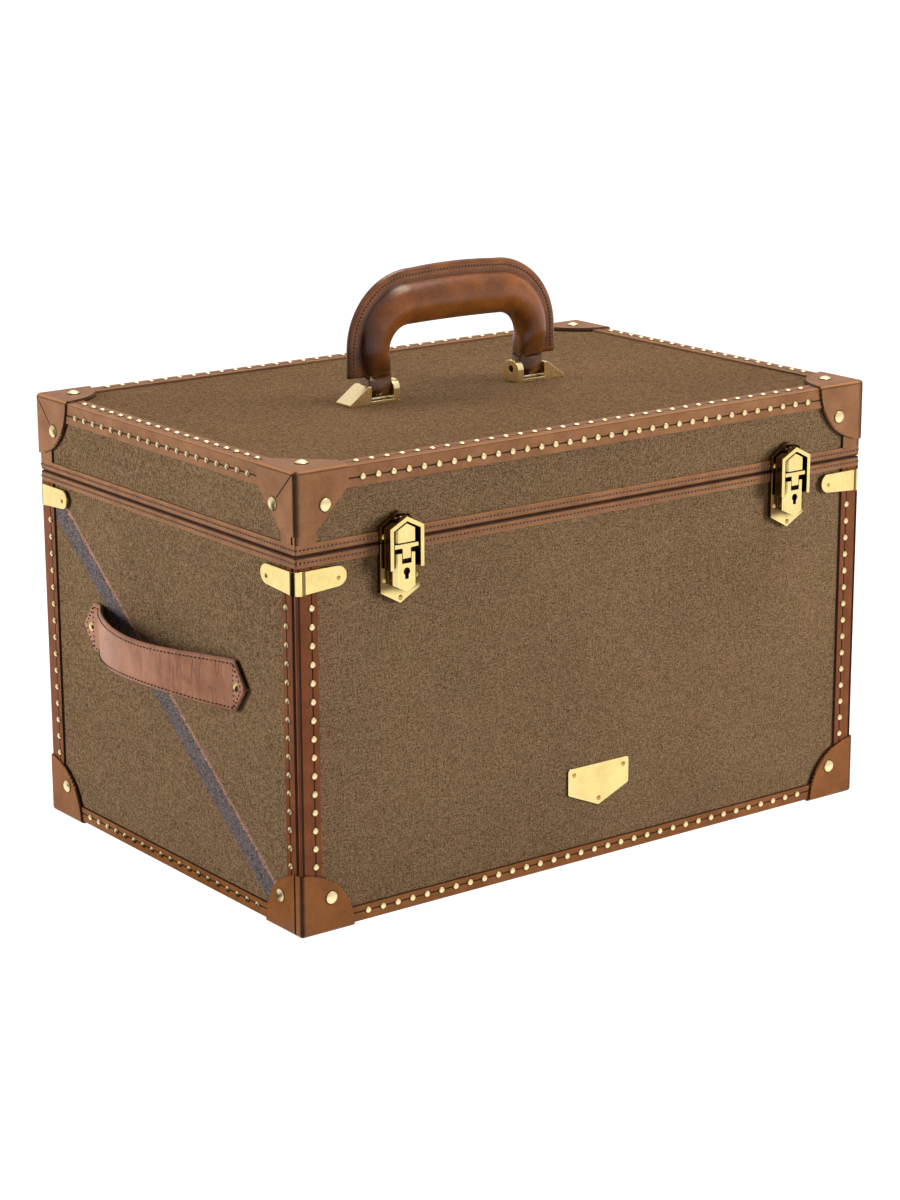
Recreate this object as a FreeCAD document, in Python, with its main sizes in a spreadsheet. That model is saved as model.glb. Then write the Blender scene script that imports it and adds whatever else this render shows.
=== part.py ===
"""A trunk-style jewelry case: boards covered in cloth, bound in leather and closed by brass locks.

Millimetres, +Z up, front towards -Y, origin under the middle of the case where it stands.
Each layer lies on the next one: leather caps over leather strips over cloth over plywood over lining.
"""
import FreeCAD, Part
import math
import os
import re
import Sketcher

Vector = FreeCAD.Vector
NEAR = 1e-4

# Driving sizes: alias, value, what it is
SIZES = [
    ("case_width", 400, "outside width over the corner caps"),
    ("case_depth", 265, "outside depth over the corner caps"),
    ("case_height", 252, "outside height over the corner caps, without the handle"),
    ("lid_height", 45, "lid from the joint with the base to its top"),
    ("seam_gap", 0.4, "gap between the two rims when the lid is shut"),
    ("edge_radius", 2.2, "rounding of the outer edges"),
    ("inner_radius", 0.4, "least rounding of the layers under the caps"),
    ("cap_thick", 1.2, "leather of the corner caps over the strips"),
    ("strip_thick", 1.2, "leather of the edge strips and rims"),
    ("cloth_thick", 0.8, "canvas cover"),
    ("board_thick", 8, "plywood"),
    ("lining_thick", 1.2, "inner lining"),
    ("cap_radius", 34, "reach of a corner cap from its corner"),
    ("cap_chamfer", 22.5, "straight cut of the front left lid cap"),
    ("strip_tuck", 8, "how far the strips run under the caps"),
    ("upright_width", 14.4, "upright strip on each face"),
    ("bottom_width", 10, "bottom strip on each face"),
    ("lid_strip_width", 13, "lid edge strip on each face"),
    ("rim_width", 5.8, "leather rim band on the outside"),
    ("nail_pitch", 9.8, "spacing of the dome nails"),
    ("nail_head", 4, "diameter of a nail's head"),
    ("nail_rise", 1.2, "height of a nail's head"),
    ("nail_shank", 1.2, "diameter of a nail's shank"),
    ("nail_depth", 6, "length of a nail's shank"),
    ("upright_nail_line", 10.6, "upright nail row from the case's edge"),
    ("bottom_nail_line", 6.6, "bottom nail row from the case's edge"),
    ("lid_nail_line", 8.2, "lid side nail row from the case's edge"),
    ("top_nail_line", 7.2, "lid top nail row from the case's edge"),
    ("row_gap", 9.8, "first nail of a row from the cap's edge"),
    ("upright_row_low", 4, "upright row's lowest nail above the cap"),
    ("upright_row_high", 7.4, "upright row's highest nail below the bracket"),
    ("cap_rivet_head", 8, "diameter of a cap rivet's head"),
    ("cap_rivet_rise", 1.8, "height of a cap rivet's head"),
    ("cap_rivet_place", 19.5, "cap rivet from both edges, on a side face"),
    ("top_rivet_place", 16, "cap rivet from both edges, on the lid's top"),
    ("small_rivet_head", 3, "diameter of a small rivet's head"),
    ("small_rivet_rise", 0.8, "height of a small rivet's head"),
    ("bracket_height", 13, "corner bracket at the corner"),
    ("bracket_tip", 10.6, "corner bracket at its arm's end"),
    ("bracket_arm", 32, "corner bracket's arm from the corner"),
    ("bracket_drop", 1.6, "corner bracket below the base's rim band"),
    ("bracket_depth", 8, "how far in the bracket's outline is looked for"),
    ("front_shift", 3, "locks and nameplate to the right of the front's middle"),
    ("lock_place", 137.5, "lock from the middle of the two"),
    ("lock_margin", 1.8, "lock plate beside the hasp"),
    ("lock_up", 8.7, "upper plate's shoulder above the seam"),
    ("lock_down", 26.8, "lower plate's shoulder below the seam"),
    ("lock_point", 7, "height of the plate's point"),
    ("lock_proud", 0.8, "plate's front before the case's face"),
    ("lock_block_width", 15.4, "raised block of the lock"),
    ("lock_block_depth", 6, "raised block before the plate"),
    ("lock_block_back", 2.4, "part of the block behind the thumb slide"),
    ("lock_block_down", 22.6, "block's lower shoulder below the seam"),
    ("lock_block_point", 3.9, "height of the block's lower point"),
    ("block_bevel", 2.4, "bevel along the block's front edges"),
    ("hasp_wall", 2.2, "wall of the hasp's hood"),
    ("hasp_gap", 0.9, "hasp beside the block"),
    ("hasp_roof_gap", 0.9, "hasp above the block"),
    ("hasp_down", 13.8, "hasp's legs below the seam"),
    ("hasp_up", 8.4, "hasp's shoulder above the seam"),
    ("hasp_point", 5.6, "height of the hasp's point"),
    ("hasp_back", 1, "hasp before the plate"),
    ("hasp_front", 0.6, "hasp before the block's front"),
    ("hasp_pin_out", 2.6, "hasp pin before the plate"),
    ("hasp_pin_drop", 1.2, "hasp pin below the hasp's point"),
    ("hasp_pin_radius", 0.6, "hasp pin"),
    ("hasp_barrel", 1.1, "hasp's barrel round its pin"),
    ("hasp_barrel_half", 2.4, "half length of the barrel"),
    ("hasp_ear", 1, "width and rounding of the plate's two ears"),
    ("hasp_ear_inset", 5.2, "ear from the hasp's side"),
    ("hasp_sweep", 3.2, "room for the hasp's turn in the block"),
    ("slide_bar", 2.4, "height of the thumb slide's crossbar"),
    ("slide_top_gap", 0.3, "thumb slide under the seam"),
    ("slide_stem_width", 5.4, "thumb slide's stem"),
    ("slide_stem", 5.6, "length of the stem under the crossbar"),
    ("slide_travel", 2.2, "thumb slide's way down"),
    ("slide_gap", 0.3, "thumb slide's clearance"),
    ("lock_rivet_up", 6.8, "lower plate's side rivets above its shoulder"),
    ("key_drop", 15.4, "keyhole below the seam"),
    ("key_radius", 2, "keyhole's round"),
    ("key_slot", 2.2, "keyhole's slot"),
    ("key_slot_length", 4, "keyhole's slot below its centre"),
    ("key_depth", 4, "depth of the keyhole"),
    ("cut_overrun", 1, "how far a cut runs past the face it opens"),
    ("plate_width", 43.6, "nameplate"),
    ("plate_side", 15.4, "height of the nameplate's straight sides"),
    ("plate_height", 24.6, "nameplate to its point"),
    ("plate_low", 32.4, "nameplate's point above the ground"),
    ("plate_thick", 1.2, "nameplate"),
    ("plate_corner", 1.8, "rounding of the nameplate's corners"),
    ("plate_rivet_in", 4, "nameplate's rivets from its edges"),
    ("strap_length", 167, "side strap from tip to tip"),
    ("strap_width", 29, "side strap"),
    ("strap_thick", 2.8, "side strap"),
    ("strap_point", 10, "length of the strap's pointed end"),
    ("strap_flat", 13, "part of the strap that lies on the cloth"),
    ("strap_ramp", 38, "part of the strap that leaves the cloth"),
    ("strap_bow", 19, "finger room under the strap"),
    ("strap_bend", 24, "rounding of the strap's bends"),
    ("strap_height", 125.5, "middle of the strap above the ground"),
    ("strap_rivet_in", 8, "strap's rivet from its tip"),
    ("strap_rivet_head", 6.4, "diameter of a strap rivet's head"),
    ("hinge_place", 120, "hinge from the middle of the back"),
    ("hinge_length", 44, "hinge"),
    ("hinge_leaf", 20, "height of a hinge leaf"),
    ("hinge_proud", 0.6, "hinge leaf before the case's back"),
    ("hinge_radius", 3.2, "hinge knuckle"),
    ("hinge_axis", 3.2, "hinge pin behind the case's back"),
    ("hinge_pin_radius", 1.5, "hinge pin"),
    ("hinge_clear", 0.05, "running clearance round a pin"),
    ("knuckle_gap", 0.3, "gap between knuckles"),
    ("hinge_room", 0.6, "leaf's clearance round the other knuckles"),
    ("hinge_screw_up", 13, "hinge screws from the seam"),
    ("hinge_screw_side", 15, "hinge screws from the hinge's middle"),
    ("bracket_inner", 42.5, "handle bracket's inner end from the middle"),
    ("bracket_post", 4.3, "handle bracket's post"),
    ("bracket_slot", 15.3, "slot for the handle's tab"),
    ("bracket_wedge", 15, "handle bracket's sloping outer end"),
    ("bracket_floor", 2, "handle bracket's floor"),
    ("bracket_post_height", 12.6, "handle bracket's post"),
    ("bracket_wedge_height", 10.5, "handle bracket's wedge"),
    ("bracket_ridge", 2.5, "flat top of the wedge"),
    ("bracket_toe", 1.6, "height of the wedge's outer end"),
    ("bracket_width", 14, "handle bracket front to back"),
    ("bracket_crown", 5.5, "rounding of the post's top"),
    ("handle_pin_height", 7.5, "handle pin above the cloth"),
    ("handle_pin_radius", 2, "handle pin"),
    ("handle_pin_hold", 3, "handle pin's length in the wedge"),
    ("tab_gap", 0.3, "handle tab beside post and wedge"),
    ("tab_thick", 10, "handle tab front to back"),
    ("tab_rise", 16, "handle tab above its pin"),
    ("grip_start", 8.6, "grip's lower end above the handle pin"),
    ("grip_half", 66.5, "grip's outer half width"),
    ("grip_inner", 46.5, "grip's inner half width"),
    ("grip_opening", 42, "finger opening's top above the cloth"),
    ("grip_top", 66.5, "grip's top above the cloth"),
    ("grip_thick", 19, "grip front to back"),
    ("grip_bend", 36, "grip's outer bend"),
    ("grip_inner_bend", 14, "grip's inner bend"),
    ("grip_round", 7.5, "rounding of the grip's section"),
    ("fin_rise", 7.6, "stitched flange outside the grip"),
    ("fin_thick", 4, "stitched flange"),
    ("tray_gap", 1.9, "tray beside the lining"),
    ("tray_wall", 3, "tray's walls and floor"),
    ("tray_height", 42, "tray"),
    ("tray_drop", 4, "tray's top below the base's rim"),
    ("tray_seat", 0.3, "tray above its ledges"),
    ("ledge_width", 9, "ledge under the tray"),
    ("ledge_height", 10, "ledge under the tray"),
    ("divider_thick", 3, "tray's dividers"),
    ("divider_drop", 6, "dividers below the tray's top"),
    ("roll_zone", 86, "part of the tray's depth with ring rolls"),
    ("roll_width", 13, "ring roll"),
    ("roll_height", 16, "ring roll"),
    ("roll_round", 5, "rounding of a ring roll's top"),
    ("roll_space", 1, "gap between ring rolls"),
    ("roll_play", 0.4, "ring rolls beside the dividers"),
    ("pad_thick", 6, "padded panel in the lid"),
    ("pad_inset", 8, "padded panel from the lid's lining"),
    ("pad_round", 2.5, "rounding of the padded panel"),
]

doc = FreeCAD.newDocument("JewelryCase")
sheet = doc.addObject("Spreadsheet::Sheet", "Sizes")
for row, (alias, number, note) in enumerate(SIZES, start=1):
    sheet.set("A%d" % row, note)
    sheet.set("B%d" % row, str(number))
    sheet.setAlias("B%d" % row, alias)
doc.recompute()

# Places that several pieces share, written in the sheet's words
PLACES = {
    "half_width": "(case_width / 2)",
    "half_depth": "(case_depth / 2)",
    "seam_height": "(case_height - lid_height)",
    "cloth_inset": "(cap_thick + strip_thick)",
    "board_inset": "(cap_thick + strip_thick + cloth_thick)",
    "inner_inset": "(cap_thick + strip_thick + cloth_thick + board_thick)",
    "lining_inset": "(cap_thick + strip_thick + cloth_thick + board_thick + lining_thick)",
    "base_top": "(seam_height - seam_gap / 2)",
    "lid_low": "(seam_height + seam_gap / 2)",
    "wall_top": "(seam_height - seam_gap / 2 - strip_thick)",
    "lid_wall_low": "(seam_height + seam_gap / 2 + strip_thick)",
    "rim_low": "(seam_height - seam_gap / 2 - rim_width)",
    "lid_rim_top": "(seam_height + seam_gap / 2 + rim_width)",
    "lid_cloth_top": "(case_height - cap_thick - strip_thick)",
    "bracket_top": "(seam_height - seam_gap / 2 - rim_width - bracket_drop)",
    "bracket_round": "(0.47 * bracket_tip)",
    "tray_top": "(seam_height - seam_gap / 2 - tray_drop)",
    "tray_low": "(seam_height - seam_gap / 2 - tray_drop - tray_height)",
}
ALIASES = {alias for alias, number, note in SIZES}
WORD = re.compile(r"[A-Za-z_]+")
SIDES = (("left", -1), ("right", 1))
CORNERS = [(end + "_" + side, sx, sy) for end, sy in (("front", -1), ("back", 1)) for side, sx in SIDES]


def cells(text):
    """The same formula with shared places written out and every size read from the sheet."""
    def spell(match):
        word = match.group(0)
        if word in PLACES:
            return cells(PLACES[word])
        return "Sizes." + word if word in ALIASES else word
    return WORD.sub(spell, str(text))


def value(text):
    """What a formula comes to now."""
    return float(sheet.evalExpression(cells(text)))


def bind(target, settings):
    """Tie properties of an object to formulas."""
    for prop, text in settings.items():
        target.setExpression(prop, cells(text))


def place(target, x, y, z):
    bind(target, {"Placement.Base.x": x, "Placement.Base.y": y, "Placement.Base.z": z})
    return target


def box(name, x, y, z, wide, deep, tall):
    """A block from its low corner and its sizes."""
    block = doc.addObject("Part::Box", name)
    bind(block, {"Length": wide, "Width": deep, "Height": tall})
    return place(block, x, y, z)


def span(name, x0, x1, y0, y1, z0, z1):
    """A block between two corners."""
    sizes = ["(%s) - (%s)" % pair for pair in ((x1, x0), (y1, y0), (z1, z0))]
    return box(name, x0, y0, z0, *sizes)


def ring_block(name, inset, z0, z1):
    """A block in the middle of the case, inset from its four sides."""
    return span(name, "%s - half_width" % inset, "half_width - %s" % inset,
                "%s - half_depth" % inset, "half_depth - %s" % inset, z0, z1)


def rod(name, axis, radius, length, x, y, z):
    """A cylinder along X, Y or Z from the middle of its first end."""
    cylinder = doc.addObject("Part::Cylinder", name)
    bind(cylinder, {"Radius": radius, "Height": length})
    turns = {"x": (Vector(0, 1, 0), 90), "y": (Vector(1, 0, 0), -90), "z": (Vector(0, 0, 1), 0)}
    cylinder.Placement = FreeCAD.Placement(Vector(), FreeCAD.Rotation(*turns[axis]))
    return place(cylinder, x, y, z)


def ball(name, radius, x, y, z):
    sphere = doc.addObject("Part::Sphere", name)
    bind(sphere, {"Radius": radius})
    return place(sphere, x, y, z)


def cut(name, base, tool):
    result = doc.addObject("Part::Cut", name)
    result.Base = base
    result.Tool = tool
    return result


def common(name, first, second):
    result = doc.addObject("Part::Common", name)
    result.Base = first
    result.Tool = second
    return result


def fuse(name, pieces):
    result = doc.addObject("Part::MultiFuse", name)
    result.Shapes = pieces
    result.Refine = True
    return result


def group(name, pieces):
    """Separate solids that share one node."""
    result = doc.addObject("Part::Compound", name)
    result.Links = pieces
    return result


def origin_plane(body, role):
    return next(part for part in body.Origin.OriginFeatures if part.Role == role)


AXES = {"XY_Plane": (0, 1), "XZ_Plane": (0, 2), "YZ_Plane": (1, 2)}


def prism(name, plane, corners, depth):
    """A straight-sided outline, drawn on a plane and padded: XZ pads to -Y, YZ to +X, XY to +Z."""
    body = doc.addObject("PartDesign::Body", name)
    sketch = body.newObject("Sketcher::SketchObject", name + "Outline")
    sketch.AttachmentSupport = [(origin_plane(body, plane), "")]
    sketch.MapMode = "FlatFace"
    points = [Vector(value(u), value(v), 0) for u, v in corners]
    for start, end in zip(points, points[1:] + points[:1]):
        sketch.addGeometry(Part.LineSegment(start, end))
    for index in range(len(points)):
        follower = (index + 1) % len(points)
        sketch.addConstraint(Sketcher.Constraint("Coincident", index, 2, follower, 1))
    for index, corner in enumerate(corners):
        for kind, text in zip(("DistanceX", "DistanceY"), corner):
            number = sketch.addConstraint(Sketcher.Constraint(kind, -1, 1, index, 1, value(text)))
            sketch.setExpression("Constraints[%d]" % number, cells(text))
    pad = body.newObject("PartDesign::Pad", name + "Pad")
    pad.Profile = sketch
    bind(pad, {"Length": depth})
    doc.recompute()
    return body


def dress(body, kind, size, wanted):
    """Round or bevel the edges of a body's last feature that a test picks."""
    base = body.Tip
    names = ["Edge%d" % (i + 1) for i, edge in enumerate(base.Shape.Edges) if wanted(edge)]
    feature = body.newObject("PartDesign::" + kind, "%s%s%d" % (body.Name, kind, len(body.Group)))
    feature.Base = (base, names)
    bind(feature, {"Radius" if kind == "Fillet" else "Size": size})
    doc.recompute()
    return body


def along(edge, axis):
    """Whether a straight edge runs along one of the three axes."""
    if len(edge.Vertexes) != 2 or not isinstance(edge.Curve, Part.Line):
        return False
    return abs(abs(edge.Curve.Direction[axis]) - 1) < NEAR


def round_outline(body, plane, size, corners):
    """Round the padded edges that stand on some corners of the outline."""
    u_axis, v_axis = AXES[plane]
    pad_axis = 3 - u_axis - v_axis
    points = [(value(u), value(v)) for u, v in corners]

    def wanted(edge):
        spot = edge.Vertexes[0].Point
        near = any(math.hypot(spot[u_axis] - u, spot[v_axis] - v) < NEAR for u, v in points)
        return near and along(edge, pad_axis)
    return dress(body, "Fillet", size, wanted)


def rounded_block(name, inset):
    """The whole case as one block with rounded edges, inset from its outside."""
    body = doc.addObject("PartDesign::Body", name)
    block = body.newObject("PartDesign::AdditiveBox", name + "Block")
    bind(block, {"Length": "case_width - 2 * %s" % inset, "Width": "case_depth - 2 * %s" % inset,
                 "Height": "case_height - 2 * %s" % inset})
    doc.recompute()
    dress(body, "Fillet", "max(edge_radius - %s; inner_radius)" % inset, lambda edge: True)
    return place(body, "%s - half_width" % inset, "%s - half_depth" % inset, inset)


NODES = []


def node(name, piece):
    """Name a finished sub-part."""
    piece.Label = name
    NODES.append(piece)
    return piece


# Layers: each is the case's block less the next one in
outer_block = rounded_block("OuterBlock", "0")
strip_block = rounded_block("StripBlock", "cap_thick")
cloth_block = rounded_block("ClothBlock", "cloth_inset")
board_block = rounded_block("BoardBlock", "board_inset")
strip_skin = cut("StripSkin", strip_block, cloth_block)
cap_skin = cut("CapSkin", outer_block, cloth_block)
cloth_skin = cut("ClothSkin", cloth_block, board_block)
base_zone = ring_block("BaseZone", "0", "0", "wall_top")
lid_zone = ring_block("LidZone", "0", "lid_wall_low", "case_height")

# Boards and cloth
def wall_boards(part, low, high):
    """Front and back boards over the whole width, side boards between them."""
    spans = {
        "front": ("-half_width", "half_width", "-half_depth", "inner_inset - half_depth"),
        "back": ("-half_width", "half_width", "half_depth - inner_inset", "half_depth"),
        "left": ("-half_width", "inner_inset - half_width", "inner_inset - half_depth",
                 "half_depth - inner_inset"),
        "right": ("half_width - inner_inset", "half_width", "inner_inset - half_depth",
                  "half_depth - inner_inset"),
    }
    for side, (x0, x1, y0, y1) in spans.items():
        zone = span("%s_%s_board_zone" % (part, side), x0, x1, y0, y1, low, high)
        name = "%s_%s_panel" % (part, side)
        node(name, common(name, board_block, zone))


wall_boards("base", "0", "wall_top")
wall_boards("lid", "lid_wall_low", "case_height")
node("base_bottom_panel", ring_block("base_bottom_panel", "inner_inset", "board_inset", "inner_inset"))
node("lid_top_panel", ring_block("lid_top_panel", "inner_inset", "case_height - inner_inset",
                                 "case_height - board_inset"))
node("base_cloth", common("base_cloth", cloth_skin, base_zone))
node("lid_cloth", common("lid_cloth", cloth_skin, lid_zone))

# Linings: thin trays that lie on the boards
base_lining_hull = ring_block("BaseLiningHull", "inner_inset", "inner_inset", "wall_top")
base_hollow = ring_block("BaseHollow", "lining_inset", "lining_inset", "case_height")
node("base_lining", cut("base_lining", base_lining_hull, base_hollow))
lid_lining_hull = ring_block("LidLiningHull", "inner_inset", "lid_wall_low", "case_height - inner_inset")
lid_hollow = ring_block("LidHollow", "lining_inset", "0", "case_height - lining_inset")
node("lid_lining", cut("lid_lining", lid_lining_hull, lid_hollow))


# Rim bands: leather folded over the top edges of the walls
def rim_band(name, low, high, wall_low, wall_high):
    slab = ring_block(name + "_slab", "0", low, high)
    outside = common(name + "_outside", strip_block, slab)
    well = ring_block(name + "_well", "(lining_inset + strip_thick)", low, high)
    wall_slab = ring_block(name + "_wall_slab", "0", wall_low, wall_high)
    wall_outside = common(name + "_wall_outside", cloth_block, wall_slab)
    wall_well = ring_block(name + "_wall_well", "lining_inset", wall_low, wall_high)
    wall = cut(name + "_wall", wall_outside, wall_well)
    return node(name, cut(name, cut(name + "_ring", outside, well), wall))


base_rim = rim_band("base_rim_binding", "rim_low", "base_top", "rim_low", "wall_top")
lid_rim = rim_band("lid_rim_binding", "lid_low", "lid_rim_top", "lid_wall_low", "lid_rim_top")


# Edge strips: the strip layer inside bars along the edges, stopped under the corner caps
def corner_places(height):
    return [("%d * half_width" % sx, "%d * half_depth" % sy, height) for name, sx, sy in CORNERS]


def corner_balls(name, radius, height):
    spots = corner_places(height)
    return group(name, [ball("%s_%d" % (name, i), radius, *spot) for i, spot in enumerate(spots)])


def edge_span(half, width, sign):
    """From the case's edge inwards, on its low or high side."""
    if sign < 0:
        return "-" + half, "%s - %s" % (width, half)
    return "%s - %s" % (half, width), half


def upright_bars(name, width, low, high):
    bars = []
    for corner, sx, sy in CORNERS:
        xs = edge_span("half_width", width, sx)
        ys = edge_span("half_depth", width, sy)
        bars.append(span("%s_%s" % (name, corner), *xs, *ys, low, high))
    return bars


def level_bars(name, width, low, high):
    """Four bars round the case that don't overlap."""
    spans = [
        ("-half_width", "half_width", "-half_depth", "%s - half_depth" % width),
        ("-half_width", "half_width", "half_depth - %s" % width, "half_depth"),
        ("-half_width", "%s - half_width" % width, "%s - half_depth" % width, "half_depth - %s" % width),
        ("half_width - %s" % width, "half_width", "%s - half_depth" % width, "half_depth - %s" % width),
    ]
    return [span("%s_%d" % (name, i), *limits, low, high) for i, limits in enumerate(spans)]


def strips(name, bars, stop):
    found = common(name + "_bars", strip_skin, group(name + "_zone", bars))
    return cut(name, found, stop)


base_stop = corner_balls("BaseStripStop", "cap_radius - strip_tuck", "0")
lid_stop = corner_balls("LidStripStop", "cap_radius - strip_tuck", "case_height")
upright_zone = upright_bars("BaseUprightBar", "upright_width", "bottom_width", "rim_low")
base_uprights = node("base_upright_bindings", strips("base_upright_bindings", upright_zone, base_stop))
bottom_zone = level_bars("BaseBottomBar", "bottom_width", "0", "bottom_width")
base_bottoms = node("base_bottom_bindings", strips("base_bottom_bindings", bottom_zone, base_stop))
lid_bars = level_bars("LidEdgeBar", "lid_strip_width", "case_height - lid_strip_width", "case_height")
lid_bars += upright_bars("LidUprightBar", "upright_width", "lid_rim_top", "case_height - lid_strip_width")
lid_edges = node("lid_edge_bindings", strips("lid_edge_bindings", lid_bars, lid_stop))
base_leather = group("BaseLeather", [base_uprights, base_bottoms, base_rim])
lid_leather = group("LidLeather", [lid_edges, lid_rim])


# Corner caps: thick leather with a round outline on every face, shaped over the strips
def cap(name, zone, leather):
    return node(name, cut(name, common(name + "_blank", cap_skin, zone), leather))


def straight_zone(name, spot):
    """The outline with straight slanting edges, for a cap at the low X, low Y, high Z corner."""
    body = doc.addObject("PartDesign::Body", name)
    block = body.newObject("PartDesign::AdditiveBox", name + "Block")
    bind(block, {"Length": "cap_radius", "Width": "cap_radius", "Height": "cap_radius"})
    doc.recompute()
    reach = value("cap_radius")

    def wanted(edge):
        middle = edge.CenterOfMass
        far = (middle.x > reach - NEAR, middle.y > reach - NEAR, middle.z < NEAR)
        return sum(far) == 2
    dress(body, "Chamfer", "cap_chamfer", wanted)
    x, y, z = spot
    return place(body, x, y, "%s - cap_radius" % z)


for (corner, sx, sy), base_spot, lid_spot in zip(CORNERS, corner_places("0"), corner_places("case_height")):
    cap("base_cap_" + corner, ball("BaseCapZone_" + corner, "cap_radius", *base_spot), base_leather)
    if corner == "front_left":
        lid_cap_zone = straight_zone("LidCapZone_" + corner, lid_spot)
    else:
        lid_cap_zone = ball("LidCapZone_" + corner, "cap_radius", *lid_spot)
    cap("lid_cap_" + corner, lid_cap_zone, lid_leather)


# Corner brackets: brass arms bent round each corner under the base's rim
def bracket_arm(name, plane, sign):
    """One arm's outline, narrowing to a rounded end."""
    half = {"XZ_Plane": "half_width", "YZ_Plane": "half_depth"}[plane]
    middle = "(bracket_top - bracket_height / 2)"
    edge = "%d * %s" % (sign, half)
    tip = "%d * (%s - bracket_arm)" % (sign, half)
    ends = [(tip, middle + " - bracket_tip / 2"), (tip, middle + " + bracket_tip / 2")]
    corners = [(edge, "bracket_top - bracket_height")] + ends + [(edge, "bracket_top")]
    body = prism(name, plane, corners, "bracket_depth")
    return round_outline(body, plane, "bracket_round", ends)


brackets = []
for corner, sx, sy in CORNERS:
    wide_arm = bracket_arm("BracketWide_" + corner, "XZ_Plane", sx)
    place(wide_arm, "0", "bracket_depth - half_depth" if sy < 0 else "half_depth", "0")
    deep_arm = bracket_arm("BracketDeep_" + corner, "YZ_Plane", sy)
    place(deep_arm, "-half_width" if sx < 0 else "half_width - bracket_depth", "0", "0")
    arms = common("BracketBlank_" + corner, cap_skin, fuse("BracketArms_" + corner, [wide_arm, deep_arm]))
    brackets.append(cut("Bracket_" + corner, arms, base_leather))
node("corner_brackets", group("corner_brackets", brackets))

# Locks: places that all their pieces share, measured from the case's face and the seam
LOCK_PLACES = {
    "plate_front": "(-half_depth - lock_proud)",
    "block_front": "(-half_depth - lock_proud - lock_block_depth)",
    "slide_back": "(-half_depth - lock_proud - lock_block_back)",
    "block_half": "(lock_block_width / 2)",
    "lock_half": "(lock_block_width / 2 + hasp_gap + hasp_wall + lock_margin)",
    "hasp_half": "(lock_block_width / 2 + hasp_gap + hasp_wall)",
    "hasp_inner": "(lock_block_width / 2 + hasp_gap)",
    "ear_place": "(hasp_half - hasp_ear_inset - hasp_ear)",
    "hasp_top": "(seam_height + hasp_up + hasp_point)",
    "hasp_pitch": "(hasp_point / hasp_half)",
    "hasp_roof": "(hasp_wall * sqrt(1 + pow(hasp_pitch; 2)))",
    "hood_shoulder": "(seam_height + hasp_up - hasp_roof + hasp_pitch * hasp_wall)",
    "slide_high": "(seam_height - seam_gap / 2 - slide_top_gap)",
    "slot_top": "(seam_height - seam_gap / 2 - slide_top_gap - slide_bar - slide_travel - slide_gap)",
    "hasp_pin_y": "(-half_depth - lock_proud - hasp_pin_out)",
    "hasp_pin_z": "(seam_height + hasp_up + hasp_point - hasp_pin_drop)",
}
PLACES.update(LOCK_PLACES)


def lock_prism(name, middle, corners, back, depth):
    """An outline on the lock's front, given from the lock's middle line."""
    shifted = [("%s + %s" % (middle, u), v) for u, v in corners]
    return place(prism(name, "XZ_Plane", shifted, depth), "0", back, "0")


def house(half, foot, shoulder, point):
    """A five-sided outline with its point up or down."""
    return [("-" + half, foot), (half, foot), (half, shoulder), ("0", point), ("-" + half, shoulder)]


def bevel_block(body):
    """Bevel a block's two long front edges."""
    front = -value("lock_block_depth")
    return dress(body, "Chamfer", "block_bevel",
                 lambda edge: along(edge, 2) and abs(edge.CenterOfMass.y - front) < NEAR)


def lock_middle(sign):
    return "%d * lock_place + front_shift" % sign


def lock_plate(name, middle, foot, shoulder, point):
    """A five-sided plate that lies on the cloth."""
    return lock_prism(name, middle, house("lock_half", foot, shoulder, point),
                      "cloth_inset - half_depth", "cloth_inset + lock_proud")


def keyhole(side, middle):
    front = "block_front - cut_overrun"
    height = "seam_height - key_drop"
    top = rod(side + "KeyRound", "y", "key_radius", "key_depth + cut_overrun", middle, front, height)
    slot = span(side + "KeySlot", middle + " - key_slot / 2", middle + " + key_slot / 2", front,
                "block_front + key_depth", height + " - key_slot_length", height)
    return fuse(side + "Keyhole", [top, slot])


def lock_case(side, middle):
    """Lower plate and case, on the base, with a slot for the thumb slide and a keyhole."""
    plate = lock_plate(side + "LowPlate", middle, "base_top", "seam_height - lock_down",
                       "seam_height - lock_down - lock_point")
    block = lock_prism(side + "LowBlock", middle, house(
        "block_half", "slot_top", "seam_height - lock_block_down",
        "seam_height - lock_block_down - lock_block_point"), "plate_front", "lock_block_depth")
    bevel_block(block)
    back = span(side + "BackBlock", middle + " - block_half", middle + " + block_half",
                "slide_back", "plate_front", "slot_top - cut_overrun", "base_top")
    slot_half = "(slide_stem_width / 2 + slide_gap)"
    slot = span(side + "StemSlot", "%s - %s" % (middle, slot_half), "%s + %s" % (middle, slot_half),
                "block_front - cut_overrun", "slide_back",
                "slide_high - slide_bar - slide_stem - slide_travel - slide_gap", "base_top")
    solid = fuse(side + "CaseSolid", [plate, block, back])
    openings = fuse(side + "CaseCuts", [slot, keyhole(side, middle)])
    name = side + "_lock_case"
    node(name, cut(name, cut(side + "CaseCut", solid, openings), base_rim))


def hasp_ears(side, middle):
    """Two ears on the upper plate that hold the hasp's pin."""
    ears = []
    for end in (-1, 1):
        near = "ear_place" if end > 0 else "(-ear_place - hasp_ear)"
        x = "%s + %s" % (middle, near)
        ears.append(rod("%sEar%d" % (side, end), "x", "hasp_ear", "hasp_ear", x, "hasp_pin_y", "hasp_pin_z"))
        ears.append(box("%sEarWeb%d" % (side, end), x, "hasp_pin_y", "hasp_pin_z - hasp_ear", "hasp_ear",
                        "hasp_pin_out + lock_proud", "2 * hasp_ear"))
    return ears


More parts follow.
